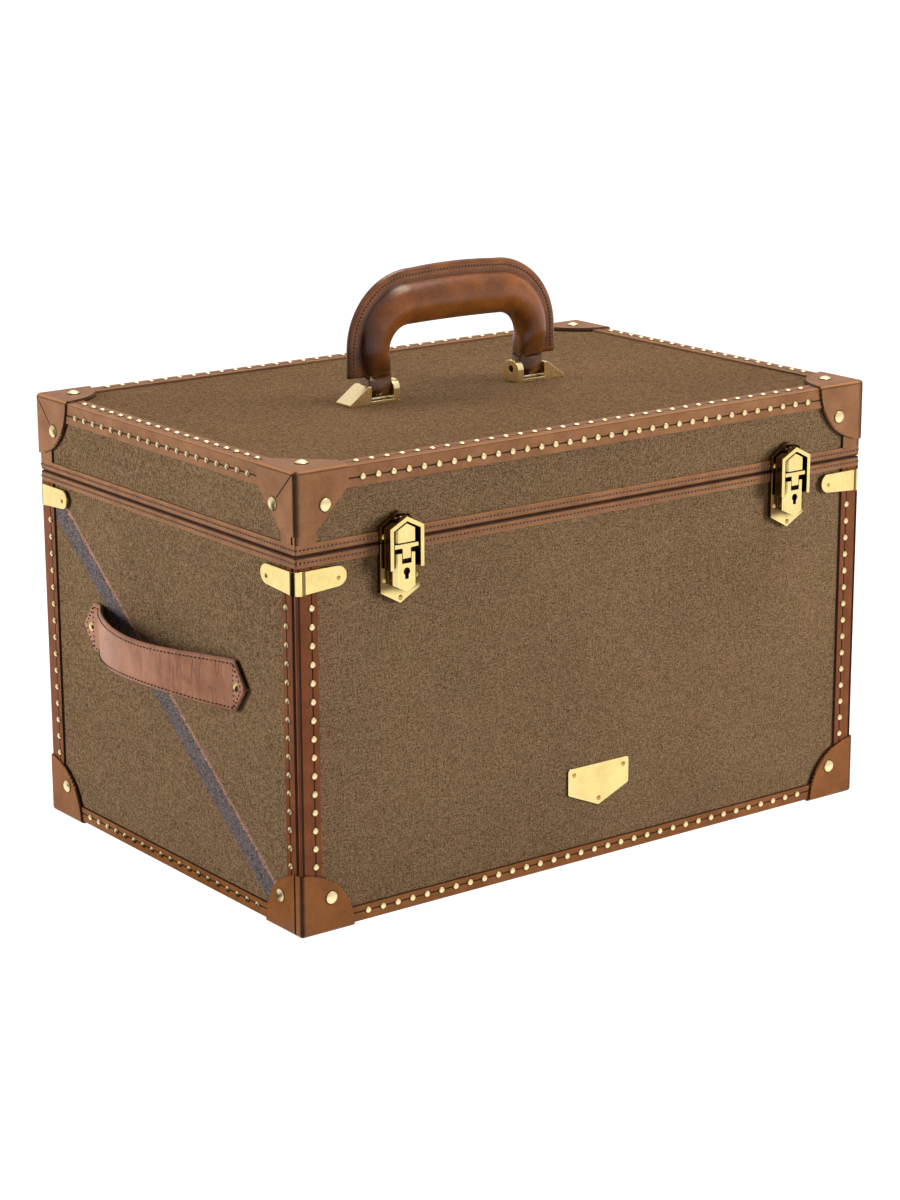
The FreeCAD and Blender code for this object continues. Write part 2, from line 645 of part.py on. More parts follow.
def keeper(side, middle):
    """Upper plate, pointed block and ears, on the lid; gives back the hasp's pin."""
    plate = lock_plate(side + "UpPlate", middle, "lid_low", "seam_height + lock_up",
                       "seam_height + lock_up + lock_point")
    shoulder = "hood_shoulder - hasp_roof_gap"
    block = lock_prism(side + "KeeperBlock", middle, house(
        "block_half", "lid_low", shoulder, shoulder + " + hasp_pitch * block_half"),
        "plate_front", "lock_block_depth")
    bevel_block(block)
    sweep = rod(side + "HaspSweep", "x", "hasp_sweep", "lock_block_width", middle + " - block_half",
                "hasp_pin_y", "hasp_pin_z")
    cleared = cut(side + "KeeperCut", block, sweep)
    solid = fuse(side + "KeeperSolid", [plate, cleared] + hasp_ears(side, middle))
    pin_half = "(ear_place + hasp_ear)"
    pin = rod(side + "HaspPin", "x", "hasp_pin_radius", "2 * " + pin_half, "%s - %s" % (middle, pin_half),
              "hasp_pin_y", "hasp_pin_z")
    name = side + "_keeper"
    node(name, cut(name, cut(side + "KeeperBored", solid, pin), lid_rim))
    return pin


def hasp(side, middle):
    """A hood over keeper and case that turns on the pin."""
    hood = lock_prism(side + "Hood", middle, house(
        "hasp_half", "seam_height - hasp_down", "seam_height + hasp_up", "hasp_top"),
        "plate_front - hasp_back", "lock_block_depth + hasp_front - hasp_back")
    well = lock_prism(side + "HoodWell", middle, house(
        "hasp_inner", "seam_height - hasp_down - cut_overrun", "hood_shoulder", "hasp_top - hasp_roof"),
        "plate_front", "lock_block_depth + hasp_front + cut_overrun")
    barrel = rod(side + "HaspBarrel", "x", "hasp_barrel", "2 * hasp_barrel_half",
                 middle + " - hasp_barrel_half", "hasp_pin_y", "hasp_pin_z")
    bore = rod(side + "HaspBore", "x", "hasp_pin_radius + hinge_clear", "2 * hasp_half",
               middle + " - hasp_half", "hasp_pin_y", "hasp_pin_z")
    arch = fuse(side + "Arch", [cut(side + "HoodShell", hood, well), barrel])
    name = side + "_hasp"
    node(name, cut(name, arch, bore))


def thumb_slide(side, middle):
    """A T that moves down in the case's slot."""
    bar = span(side + "SlideBar", middle + " - block_half", middle + " + block_half", "block_front",
               "slide_back - slide_gap", "slide_high - slide_bar", "slide_high")
    stem = span(side + "SlideStem", middle + " - slide_stem_width / 2", middle + " + slide_stem_width / 2",
                "block_front", "slide_back - slide_gap", "slide_high - slide_bar - slide_stem",
                "slide_high - slide_bar")
    name = side + "_thumb_slide"
    node(name, fuse(name, [bar, stem]))


hasp_pins = []
for side, sign in SIDES:
    lock_case(side, lock_middle(sign))
    hasp_pins.append(keeper(side, lock_middle(sign)))
    hasp(side, lock_middle(sign))
    thumb_slide(side, lock_middle(sign))
node("hasp_pins", group("hasp_pins", hasp_pins))

# Nameplate: a bare five-sided shield
plate_corners = [("-plate_width / 2", "plate_low + plate_height"),
                 ("-plate_width / 2", "plate_low + plate_height - plate_side"), ("0", "plate_low"),
                 ("plate_width / 2", "plate_low + plate_height - plate_side"),
                 ("plate_width / 2", "plate_low + plate_height")]
nameplate = prism("nameplate", "XZ_Plane", plate_corners, "plate_thick")
round_outline(nameplate, "XZ_Plane", "plate_corner", plate_corners)
node("nameplate", place(nameplate, "front_shift", "cloth_inset - half_depth", "0"))


# Side straps: leather bowed off the cloth, with pointed ends
def strap(side, sign):
    end = "(strap_length / 2)"
    foot = "(strap_length / 2 - strap_flat)"
    crest = "(strap_length / 2 - strap_flat - strap_ramp)"
    outside = "(strap_bow + strap_thick)"
    out = "%d * " % sign
    upper = [(out + "strap_thick", end), (out + "strap_thick", foot), (out + outside, crest)]
    lower = [(out + "strap_bow", crest), ("0", foot), ("0", end)]
    corners = upper + [(u, "-" + v) for u, v in reversed(upper)]
    corners += [(u, "-" + v) for u, v in reversed(lower)] + lower
    bow = prism(side + "StrapBow", "XY_Plane", corners, "strap_width")
    bends = [corner for corner in corners if end not in corner[1]]
    round_outline(bow, "XY_Plane", "strap_bend", bends)
    wall = "%d * (half_width - cloth_inset)" % sign
    place(bow, wall, "0", "strap_height - strap_width / 2")
    shoulder = "(strap_length / 2 - strap_point)"
    leaf = [("-" + end, "0"), ("-" + shoulder, "strap_width / 2"), (shoulder, "strap_width / 2"), (end, "0"),
            (shoulder, "-strap_width / 2"), ("-" + shoulder, "-strap_width / 2")]
    outline = prism(side + "StrapOutline", "YZ_Plane", leaf, "strap_bow + strap_thick")
    start = wall if sign > 0 else "%s - strap_bow - strap_thick" % wall
    place(outline, start, "0", "strap_height")
    name = side + "_strap_handle"
    return node(name, common(name, bow, outline))


for side, sign in SIDES:
    strap(side, sign)

# Hinges: two brass pairs of leaves on the back, with knuckles behind it
PLACES.update({
    "hinge_y": "(half_depth + hinge_axis)",
    "knuckle": "(hinge_length / 3)",
    "leaf_back": "(half_depth - cloth_inset)",
    "leaf_front": "(half_depth + hinge_proud)",
})


def knuckle_rod(name, radius, start, length, middle):
    x = "%s - hinge_length / 2 + %s" % (middle, start)
    return rod(name, "x", radius, length, x, "hinge_y", "seam_height")


def hinge(side, sign):
    """The base's leaf has the two outer knuckles, the lid's leaf the middle one."""
    middle = "(%d * hinge_place)" % sign
    x0, x1 = middle + " - hinge_length / 2", middle + " + hinge_length / 2"
    lips = {"Base": ("seam_height - hinge_leaf", "base_top"), "Lid": ("lid_low", "seam_height + hinge_leaf")}
    outer = [("0", "knuckle - knuckle_gap"), ("2 * knuckle + knuckle_gap", "knuckle - knuckle_gap")]
    inner = [("knuckle", "knuckle")]
    own = {"Base": outer, "Lid": inner}
    leaves = []
    for part, rim in (("Base", base_rim), ("Lid", lid_rim)):
        name = side + part
        leaf = span(name + "Leaf", x0, x1, "leaf_back", "leaf_front", *lips[part])
        barrels = []
        for i, (start, length) in enumerate(own[part]):
            barrels.append(knuckle_rod("%sKnuckle%d" % (name, i), "hinge_radius", start, length, middle))
        others = own["Lid" if part == "Base" else "Base"]
        rooms = []
        for i, (start, length) in enumerate(others):
            wide_start = "(%s) - knuckle_gap" % start
            wide_length = "(%s) + 2 * knuckle_gap" % length
            rooms.append(knuckle_rod("%sRoom%d" % (name, i), "hinge_radius + hinge_room", wide_start,
                                     wide_length, middle))
        notched = cut(name + "Notched", leaf, group(name + "Rooms", rooms))
        bore = knuckle_rod(name + "Bore", "hinge_pin_radius + hinge_clear", "(-cut_overrun)",
                           "hinge_length + 2 * cut_overrun", middle)
        solid = cut(name + "Bored", fuse(name + "Solid", [notched] + barrels), bore)
        leaves.append(cut(name + "HingeLeaf", solid, rim))
    pin = knuckle_rod(side + "HingePin", "hinge_pin_radius", "0", "hinge_length", middle)
    return leaves + [pin]


hinges = [hinge(side, sign) for side, sign in SIDES]
for name, pieces in zip(("base_hinge_leaves", "lid_hinge_leaves", "hinge_pins"), zip(*hinges)):
    node(name, group(name, list(pieces)))

# Handle brackets and pins
PLACES.update({
    "handle_pin_z": "(lid_cloth_top + handle_pin_height)",
    "tab_inner": "(bracket_inner + bracket_post + tab_gap)",
    "tab_outer": "(bracket_inner + bracket_post + bracket_slot - tab_gap)",
    "wedge_inner": "(bracket_inner + bracket_post + bracket_slot)",
})


def handle_bracket(side, sign):
    profile = [
        ("bracket_inner", "0"), ("wedge_inner + bracket_wedge", "0"),
        ("wedge_inner + bracket_wedge", "bracket_toe"),
        ("wedge_inner + bracket_ridge", "bracket_wedge_height"), ("wedge_inner", "bracket_wedge_height"),
        ("wedge_inner", "bracket_floor"), ("bracket_inner + bracket_post", "bracket_floor"),
        ("bracket_inner + bracket_post", "bracket_post_height"), ("bracket_inner", "bracket_post_height"),
    ]
    corners = [("%d * (%s)" % (sign, u), v) for u, v in profile]
    body = prism(side + "HandleBracket", "XZ_Plane", corners, "bracket_width")
    crown = value("bracket_post_height")
    dress(body, "Fillet", "bracket_crown",
          lambda edge: along(edge, 0) and abs(edge.CenterOfMass.z - crown) < NEAR)
    place(body, "0", "bracket_width / 2", "lid_cloth_top")
    length = "bracket_post + bracket_slot + handle_pin_hold"
    start = "bracket_inner" if sign > 0 else "-bracket_inner - (%s)" % length
    pin = rod(side + "HandlePin", "x", "handle_pin_radius", length, start, "0", "handle_pin_z")
    name = side + "_handle_bracket"
    node(name, cut(name, body, pin))
    return pin


node("handle_pins", group("handle_pins", [handle_bracket(side, sign) for side, sign in SIDES]))


# Handle: a padded leather grip with a stitched flange, on two tabs
def arch(name, half, inner, top, opening, thick, bend, inner_bend):
    """A bridge-shaped pad whose feet stand just above the brackets."""
    foot = "handle_pin_z + grip_start"
    outer_corners = [("-" + half, "lid_cloth_top + " + top), (half, "lid_cloth_top + " + top)]
    inner_corners = [(inner, "lid_cloth_top + " + opening), ("-" + inner, "lid_cloth_top + " + opening)]
    corners = [("-" + half, foot)] + outer_corners + [(half, foot), (inner, foot)] + inner_corners
    corners += [("-" + inner, foot)]
    body = prism(name, "XZ_Plane", corners, thick)
    round_outline(body, "XZ_Plane", bend, outer_corners)
    round_outline(body, "XZ_Plane", inner_bend, inner_corners)
    return place(body, "0", "(%s) / 2" % thick, "0")


grip = arch("GripArch", "grip_half", "grip_inner", "grip_top", "grip_opening", "grip_thick", "grip_bend",
            "grip_inner_bend")
foot_height = value("handle_pin_z + grip_start")
grip_faces = (0, -value("grip_thick"))


def long_edge(edge):
    """The edges that run round the arch on its front and back, not those across its feet."""
    ends = [vertex.Point for vertex in edge.Vertexes]
    on_face = any(all(abs(p.y - y) < NEAR for p in ends) for y in grip_faces)
    across_foot = all(abs(p.z - foot_height) < NEAR for p in ends)
    return on_face and not across_foot


dress(grip, "Fillet", "grip_round", long_edge)
fin = arch("FinArch", "(grip_half + fin_rise)", "(grip_half - grip_round)", "(grip_top + fin_rise)",
           "(grip_top - grip_round)", "fin_thick", "(grip_bend + fin_rise)", "(grip_bend - grip_round)")


def tab(side, sign):
    """A flat tab with a round end on the handle's pin."""
    start = "tab_inner" if sign > 0 else "-tab_outer"
    blade = box(side + "Tab", start, "-tab_thick / 2", "handle_pin_z", "tab_outer - tab_inner", "tab_thick",
                "tab_rise")
    end = rod(side + "TabEnd", "x", "tab_thick / 2", "tab_outer - tab_inner", start, "0", "handle_pin_z")
    return [blade, end]


def tab_bore(side, sign):
    start = "tab_inner - cut_overrun" if sign > 0 else "-tab_outer - cut_overrun"
    return rod(side + "TabBore", "x", "handle_pin_radius + hinge_clear",
               "tab_outer - tab_inner + 2 * cut_overrun", start, "0", "handle_pin_z")


tabs = sum([tab(side, sign) for side, sign in SIDES], [])
handle_solid = fuse("HandleSolid", [grip, fin] + tabs)
bores = group("TabBores", [tab_bore(side, sign) for side, sign in SIDES])
node("handle_grip", cut("handle_grip", handle_solid, bores))

# Tray: a lift-out box on two ledges, with dividers and ring rolls
PLACES.update({
    "tray_inset": "(lining_inset + tray_gap)",
    "well_inset": "(lining_inset + tray_gap + tray_wall)",
    "tray_floor": "(tray_low + tray_wall)",
    "divider_top": "(tray_top - divider_drop)",
    "roll_front": "(half_depth - well_inset - roll_zone)",
})
tray_hull = ring_block("TrayHull", "tray_inset", "tray_low", "tray_top")
tray_well = ring_block("TrayWell", "well_inset", "tray_floor", "case_height")
node("tray_frame", cut("tray_frame", tray_hull, tray_well))

ledges = []
for side, sign in SIDES:
    wall = "half_width - lining_inset"
    xs = ("-(%s)" % wall, "ledge_width - (%s)" % wall) if sign < 0 else (wall + " - ledge_width", wall)
    ledges.append(span(side + "Ledge", *xs, "lining_inset - half_depth", "half_depth - lining_inset",
                       "tray_low - tray_seat - ledge_height", "tray_low - tray_seat"))
node("tray_ledges", group("tray_ledges", ledges))

long_divider = span("LongDivider", "well_inset - half_width", "half_width - well_inset",
                    "roll_front - divider_thick", "roll_front", "tray_floor", "divider_top")
dividers = [long_divider]
FRONT_CELLS = 3
for i in range(1, FRONT_CELLS):
    middle = "(case_width - 2 * well_inset) * (%d / %d - 1 / 2)" % (i, FRONT_CELLS)
    dividers.append(span(
        "CrossDivider%d" % i, middle + " - divider_thick / 2", middle + " + divider_thick / 2",
        "well_inset - half_depth", "roll_front - divider_thick", "tray_floor", "divider_top"))
node("tray_dividers", group("tray_dividers", dividers))


def ring_roll(index, start):
    """One padded roll along the tray, with a round top."""
    profile = [("0", "0"), ("roll_width", "0"), ("roll_width", "roll_height"), ("0", "roll_height")]
    crown = profile[2:]
    body = prism("RingRoll%d" % index, "YZ_Plane", profile, "case_width - 2 * well_inset - 2 * roll_play")
    round_outline(body, "YZ_Plane", "roll_round", crown)
    return place(body, "well_inset - half_width + roll_play", start, "tray_floor")


roll_count = int((value("roll_zone - roll_play")) / value("roll_width + roll_space"))
roll_step = "roll_front + roll_play + %d * (roll_width + roll_space)"
rolls = [ring_roll(i, roll_step % i) for i in range(roll_count)]
node("ring_rolls", group("ring_rolls", rolls))

# Padded panel under the lid's top
lid_pad = doc.addObject("PartDesign::Body", "lid_pad")
pad_block = lid_pad.newObject("PartDesign::AdditiveBox", "LidPadBlock")
bind(pad_block, {"Length": "case_width - 2 * (lining_inset + pad_inset)",
                 "Width": "case_depth - 2 * (lining_inset + pad_inset)", "Height": "pad_thick"})
doc.recompute()
dress(lid_pad, "Fillet", "pad_round", lambda edge: edge.CenterOfMass.z < value("pad_thick") - NEAR)
place(lid_pad, "lining_inset + pad_inset - half_width", "lining_inset + pad_inset - half_depth",
      "case_height - lining_inset - pad_thick")
node("lid_pad", lid_pad)


# Nails and rivets: dome heads on shanks driven into what they hold
def dome_nail(head_size, rise_size):
    """A nail along +Z: its head's flat underside at zero and its shank below."""
    radius = value(head_size) / 2
    rise = value(rise_size)
    shank = value("nail_shank")
    depth = value("nail_depth")
    top = Vector(0, 0, rise)
    sphere = (radius ** 2 + rise ** 2) / (2 * rise)
    half_way = math.asin(radius / sphere) / 2
    middle = Vector(sphere * math.sin(half_way), 0, rise - sphere + sphere * math.cos(half_way))
    rim = Vector(radius, 0, 0)
    neck = Vector(shank / 2, 0, 0)
    foot = Vector(shank / 2, 0, -depth)
    end = Vector(0, 0, -depth)
    edges = [Part.Arc(top, middle, rim).toShape()]
    for start, stop in ((rim, neck), (neck, foot), (foot, end), (end, top)):
        edges.append(Part.LineSegment(start, stop).toShape())
    return Part.Face(Part.Wire(edges)).revolve(Vector(), Vector(0, 0, 1), 360)


def driven(pattern, spots):
    """Copies of one nail at places given as a point and an outward direction."""
    copies = []
    for point, outward in spots:
        turn = FreeCAD.Rotation(Vector(0, 0, 1), Vector(*outward))
        copy = pattern.copy()
        copy.Placement = FreeCAD.Placement(Vector(*point), turn)
        copies.append(copy)
    return copies


def fasteners(name, shapes):
    """One node of separate nails or rivets."""
    piece = doc.addObject("Part::Feature", name)
    piece.Shape = Part.makeCompound(shapes)
    piece.Placement = FreeCAD.Placement()
    return node(name, piece)


def row_places(low, high):
    """Evenly spaced places between two ends, as near to the nails' pitch as fits."""
    steps = max(1, round((high - low) / value("nail_pitch")))
    return [low + (high - low) * i / steps for i in range(steps + 1)]


half_w, half_d, tall = value("half_width"), value("half_depth"), value("case_height")
strip_in = value("cap_thick")
row_start = value("cap_radius + row_gap")
across = row_places(row_start - half_w, half_w - row_start)
along_side = row_places(row_start - half_d, half_d - row_start)


def rows_round(height):
    """A nail row on each of the four sides at one height."""
    spots = []
    for sign in (-1, 1):
        spots += [((x, sign * (half_d - strip_in), height), (0, sign, 0)) for x in across]
        spots += [((sign * (half_w - strip_in), y, height), (sign, 0, 0)) for y in along_side]
    return spots


def upright_rows():
    line = value("upright_nail_line")
    heights = row_places(value("cap_radius + upright_row_low"),
                         value("bracket_top - bracket_height - upright_row_high"))
    spots = []
    for corner, sx, sy in CORNERS:
        for z in heights:
            spots.append(((sx * (half_w - line), sy * (half_d - strip_in), z), (0, sy, 0)))
            spots.append(((sx * (half_w - strip_in), sy * (half_d - line), z), (sx, 0, 0)))
    return spots


def top_rows():
    line = value("top_nail_line")
    spots = []
    for sign in (-1, 1):
        spots += [((x, sign * (half_d - line), tall - strip_in), (0, 0, 1)) for x in across]
        spots += [((sign * (half_w - line), y, tall - strip_in), (0, 0, 1)) for y in along_side]
    return spots


nail = dome_nail("nail_head", "nail_rise")
fasteners("base_nails", driven(nail, rows_round(value("bottom_nail_line")) + upright_rows()))
fasteners("lid_nails", driven(nail, rows_round(tall - value("lid_nail_line")) + top_rows()))


def cap_rivet_spots(height, top):
    """One rivet on each side face of every cap, and one on top of the lid's caps."""
    inset = value("cap_rivet_place")
    top_inset = value("top_rivet_place")
    spots = []
    for corner, sx, sy in CORNERS:
        spots.append(((sx * (half_w - inset), sy * half_d, height), (0, sy, 0)))
        spots.append(((sx * half_w, sy * (half_d - inset), height), (sx, 0, 0)))
        if top:
            spots.append(((sx * (half_w - top_inset), sy * (half_d - top_inset), tall), (0, 0, 1)))
    return spots


rivet = dome_nail("cap_rivet_head", "cap_rivet_rise")
fasteners("base_cap_rivets", driven(rivet, cap_rivet_spots(value("cap_rivet_place"), False)))
fasteners("lid_cap_rivets", driven(rivet, cap_rivet_spots(tall - value("cap_rivet_place"), True)))


def bracket_spots():
    inset = value("bracket_arm - bracket_tip / 2")
    height = value("bracket_top - bracket_height / 2")
    spots = []
    for corner, sx, sy in CORNERS:
        spots.append(((sx * (half_w - inset), sy * half_d, height), (0, sy, 0)))
        spots.append(((sx * half_w, sy * (half_d - inset), height), (sx, 0, 0)))
    return spots


def plate_spots():
    front = value("cloth_inset - half_depth - plate_thick")
    inset = value("plate_rivet_in")
    side = value("plate_width / 2") - inset
    high = value("plate_low + plate_height") - inset
    low = value("plate_low") + inset
    middle = value("front_shift")
    return [((middle + x, front, z), (0, -1, 0)) for x, z in ((-side, high), (side, high), (0, low))]


def lock_spots(part):
    """Rivets of the lock plates: three in the lower one, two in the upper one."""
    front = value("plate_front")
    side = value("(lock_half + block_half) / 2")
    inset = value("small_rivet_head")
    low = value("seam_height - lock_down")
    high = low + value("lock_rivet_up")
    places = {"base": [(-side, high), (side, high), (0, low - value("lock_point") + inset)],
              "lid": [(-side, value("lid_low") + inset), (side, value("lid_low") + inset)]}
    spots = []
    for name, sign in SIDES:
        middle = value(lock_middle(sign))
        spots += [((middle + x, front, z), (0, -1, 0)) for x, z in places[part]]
    return spots


def hinge_spots(sign):
    back = value("leaf_front")
    height = value("seam_height") + sign * value("hinge_screw_up")
    side = value("hinge_screw_side")
    places = [end * value("hinge_place") + x for name, end in SIDES for x in (-side, 0, side)]
    return [((x, back, height), (0, 1, 0)) for x in places]


small = dome_nail("small_rivet_head", "small_rivet_rise")
base_small_spots = bracket_spots() + plate_spots() + lock_spots("base") + hinge_spots(-1)
fasteners("base_small_rivets", driven(small, base_small_spots))
fasteners("lid_small_rivets", driven(small, lock_spots("lid") + hinge_spots(1)))
strap_rivet = dome_nail("strap_rivet_head", "cap_rivet_rise")
strap_out = value("half_width - cloth_inset + strap_thick")
strap_end = value("strap_length / 2 - strap_rivet_in")
strap_spots = [((sign * strap_out, end * strap_end, value("strap_height")), (sign, 0, 0))
               for name, sign in SIDES for end in (-1, 1)]
fasteners("strap_rivets", driven(strap_rivet, strap_spots))

# Check everything, then write one file for each sub-part
doc.recompute()
failed = [thing.Name for thing in doc.Objects if "Invalid" in thing.State or "Error" in thing.State]
if failed:
    raise RuntimeError("these failed: " + ", ".join(failed))
for piece in NODES:
    if piece.Shape.isNull() or not piece.Shape.isValid() or not piece.Shape.Solids:
        raise RuntimeError("no valid shape: " + piece.Label)
os.makedirs("parts", exist_ok=True)
for piece in NODES:
    piece.Shape.exportStep("parts/%s.step" % piece.Label)
    print("%-24s %3d solids %9.1f mm3" % (piece.Label, len(piece.Shape.Solids), piece.Shape.Volume))
print(len(NODES), "sub-parts")
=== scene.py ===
# %% [markdown]
# # A trunk-style jewelry case
# The case is a small travelling trunk: boards covered in olive-brown canvas, bound in leather along every
# edge, and closed with brass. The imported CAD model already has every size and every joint, so it is loaded
# as a fixed frame, and this lesson only adds looks to it. One unit is a metre, as in the frame.

# %% Load the fixed frame
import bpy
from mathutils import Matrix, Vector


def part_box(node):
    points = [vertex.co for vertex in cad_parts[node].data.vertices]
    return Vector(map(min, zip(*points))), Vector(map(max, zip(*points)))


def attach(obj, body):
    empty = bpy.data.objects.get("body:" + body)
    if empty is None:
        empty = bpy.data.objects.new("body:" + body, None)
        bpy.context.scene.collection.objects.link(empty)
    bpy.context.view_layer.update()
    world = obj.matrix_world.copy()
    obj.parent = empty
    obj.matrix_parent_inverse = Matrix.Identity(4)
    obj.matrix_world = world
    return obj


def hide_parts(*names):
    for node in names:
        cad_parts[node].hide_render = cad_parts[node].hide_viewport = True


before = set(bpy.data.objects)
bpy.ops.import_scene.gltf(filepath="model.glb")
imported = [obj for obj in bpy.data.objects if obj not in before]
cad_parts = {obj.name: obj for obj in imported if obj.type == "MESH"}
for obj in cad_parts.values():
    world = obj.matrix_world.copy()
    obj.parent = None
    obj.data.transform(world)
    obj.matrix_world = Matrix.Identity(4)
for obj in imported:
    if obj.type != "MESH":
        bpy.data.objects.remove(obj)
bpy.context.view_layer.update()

# %% [markdown]
# ## The camera
# The photograph was taken from the front left, a little above the lid, with a long lens. A camera could be
# placed by eye, but the case is a plain box, so its corners in the photograph give the angle, the distance
# and the lens exactly. The camera looks along its own -Z, so the direction back to it is turned about and
# handed to a track quaternion.

# %% Place the camera
import math

import bpy
from mathutils import Matrix, Vector

MM = 0.001
CAMERA_PLACE = Vector((-1.00971, -1.34899, 0.58021))
CAMERA_TURN = math.radians(-36.74)
CAMERA_TILT = math.radians(15.15)
CAMERA_ROLL = math.radians(-0.26)
CAMERA_LENS = 88.95
CAMERA_FAR = 50


def place_camera():
    """The photograph's camera."""
    level = math.cos(CAMERA_TILT)
    back = Vector((math.sin(CAMERA_TURN) * level, -math.cos(CAMERA_TURN) * level, math.sin(CAMERA_TILT)))
    lens = bpy.data.cameras.new("camera")
    lens.lens = CAMERA_LENS
    lens.clip_end = CAMERA_FAR
    camera = bpy.data.objects.new("camera", lens)
    bpy.context.collection.objects.link(camera)
    turn = (-back).to_track_quat("-Z", "Y").to_matrix().to_4x4()
    camera.matrix_world = Matrix.Translation(CAMERA_PLACE) @ turn @ Matrix.Rotation(CAMERA_ROLL, 4, "Z")
    bpy.context.scene.camera = camera


place_camera()
print("camera:", round(CAMERA_PLACE.length, 2), "m from the case")

# %% [markdown]
# ## Small helpers for shader nodes
# Every finish is made of nodes. Writing out each new node and link takes many lines, so small helpers do
# that: they add a node, link or set its sockets, do sums, mix colours, and start or place a node group. A
# finish further down then reads like a short recipe.

# %% Node helpers
def add(tree, kind, **settings):
    """A new shader node with some of its settings."""
    made = tree.nodes.new("ShaderNode" + kind)
    for name, value in settings.items():
        setattr(made, name, value)
    return made


def feed(tree, socket, value):
    """Link a socket to another node's output, or set it to a plain value."""
    if isinstance(value, bpy.types.NodeSocket):
        tree.links.new(value, socket)
    else:
        socket.default_value = value


def wire(tree, node, values):
    """Link or set some of a node's sockets by their names. Gives the node's outputs."""
    for label, value in values.items():
        feed(tree, node.inputs[label], value)
    return node.outputs


def work_out(tree, operation, *values):
    """A Math node on sockets or numbers. Gives its output."""
    step = add(tree, "Math", operation=operation)
    for socket, value in zip(step.inputs, values):
        feed(tree, socket, value)
    return step.outputs[0]


def scaled(tree, value, by, plus=0.0):
    """A value times another, plus a third. Gives its output."""
    return work_out(tree, "MULTIPLY_ADD", value, by, plus)


def mix_colour(tree, amount, first, second, how="MIX"):
    """A Mix node between two colours. Gives its output."""
    step = add(tree, "Mix", data_type="RGBA", blend_type=how)
    for place, value in zip((0, 6, 7), (amount, first, second)):
        feed(tree, step.inputs[place], value)
    return step.outputs[2]


def new_group(name, inputs, outputs):
    """An empty node group with named number sockets. Gives the group, its inputs and its outputs."""
    group = bpy.data.node_groups.new(name, "ShaderNodeTree")
    for label, value in inputs.items():
        socket = group.interface.new_socket(label, in_out="INPUT", socket_type="NodeSocketFloat")
        socket.default_value = value
    for label in outputs:
        group.interface.new_socket(label, in_out="OUTPUT", socket_type="NodeSocketFloat")
    start = group.nodes.new("NodeGroupInput")
    end = group.nodes.new("NodeGroupOutput")
    return group, start.outputs, end.inputs


def use_group(tree, group, values=None):
    """Place a node group in a tree with its own values. Gives its outputs."""
    return wire(tree, add(tree, "Group", node_tree=group), values or {})


print("helpers ready: add, feed, wire, work_out, scaled, mix_colour, new_group, use_group")

# %% [markdown]
# ## Lengths along a face
# Canvas threads run along and up each side of the box. UV maps could carry them, but the case has only
# square faces, so it is simpler to take the two lengths that lie in the face: the normal says which way the
# face looks, and that direction's length is left out. Object coordinates move with the piece, so the
# threads stay put when the lid opens.

# %% Group: lengths along and up a face
def parts_of(tree, place):
    """The three numbers of a place or a direction."""
    split = add(tree, "SeparateXYZ")
    feed(tree, split.inputs[0], place)
    return split.outputs


def face_lengths():
    """A group that gives the length along a face and the length up it."""
    group, _, end = new_group("lengths on a face", {}, ("Along", "Up"))
    spot = add(group, "TexCoord").outputs
    x, y, z = parts_of(group, spot["Object"])
    side, front, top = (work_out(group, "ABSOLUTE", part) for part in parts_of(group, spot["Normal"]))
    looks_side = work_out(group, "GREATER_THAN", side, work_out(group, "MAXIMUM", front, top))
    looks_up = work_out(group, "GREATER_THAN", top, work_out(group, "MAXIMUM", side, front))

    def choose(test, there, otherwise):
        gap = work_out(group, "SUBTRACT", there, otherwise)
        return scaled(group, gap, test, otherwise)

    feed(group, end["Along"], choose(looks_side, y, x))
    feed(group, end["Up"], choose(looks_up, y, z))
    return group


FACE_LENGTHS = face_lengths()
print("group:", FACE_LENGTHS.name)

# %% [markdown]
# ## Woven threads
# The canvas is a plain weave: each thread goes over one and under the next. An even chequer of over and
# under would look printed, so each crossing also gets its own random tone, and long streaks follow single
# threads that are a little thicker or darker, as in real cotton.

# %% Group: woven threads
WANDER_SCALE, WANDER_THREADS = 160.0, 2.2
FIBRE_SCALE, FIBRE_TONE = 2600.0, 0.3
UNEVEN_SCALE, UNEVEN_TONE = 1000.0, 1.4
CROSSING_TONE = 0.5
TONE_LEVEL = -0.62
RUN_THREADS = 3.0
BULGE_SWING, BULGE_LEAST = 0.45, 0.55


def own_place(tree):
    """Each point's place in the piece's own coordinates."""
    return add(tree, "TexCoord").outputs["Object"]


def noise_at(tree, place, scale, detail=2.0, roughness=0.5):
    """A noise texture at some place. Gives its value."""
    values = {"Vector": place, "Scale": scale, "Detail": detail, "Roughness": roughness}
    return wire(tree, add(tree, "TexNoise"), values)[0]


def joined(tree, *parts):
    """Up to three numbers joined into one place."""
    join = add(tree, "CombineXYZ")
    for socket, part in zip(join.inputs, parts):
        feed(tree, socket, part)
    return join.outputs[0]


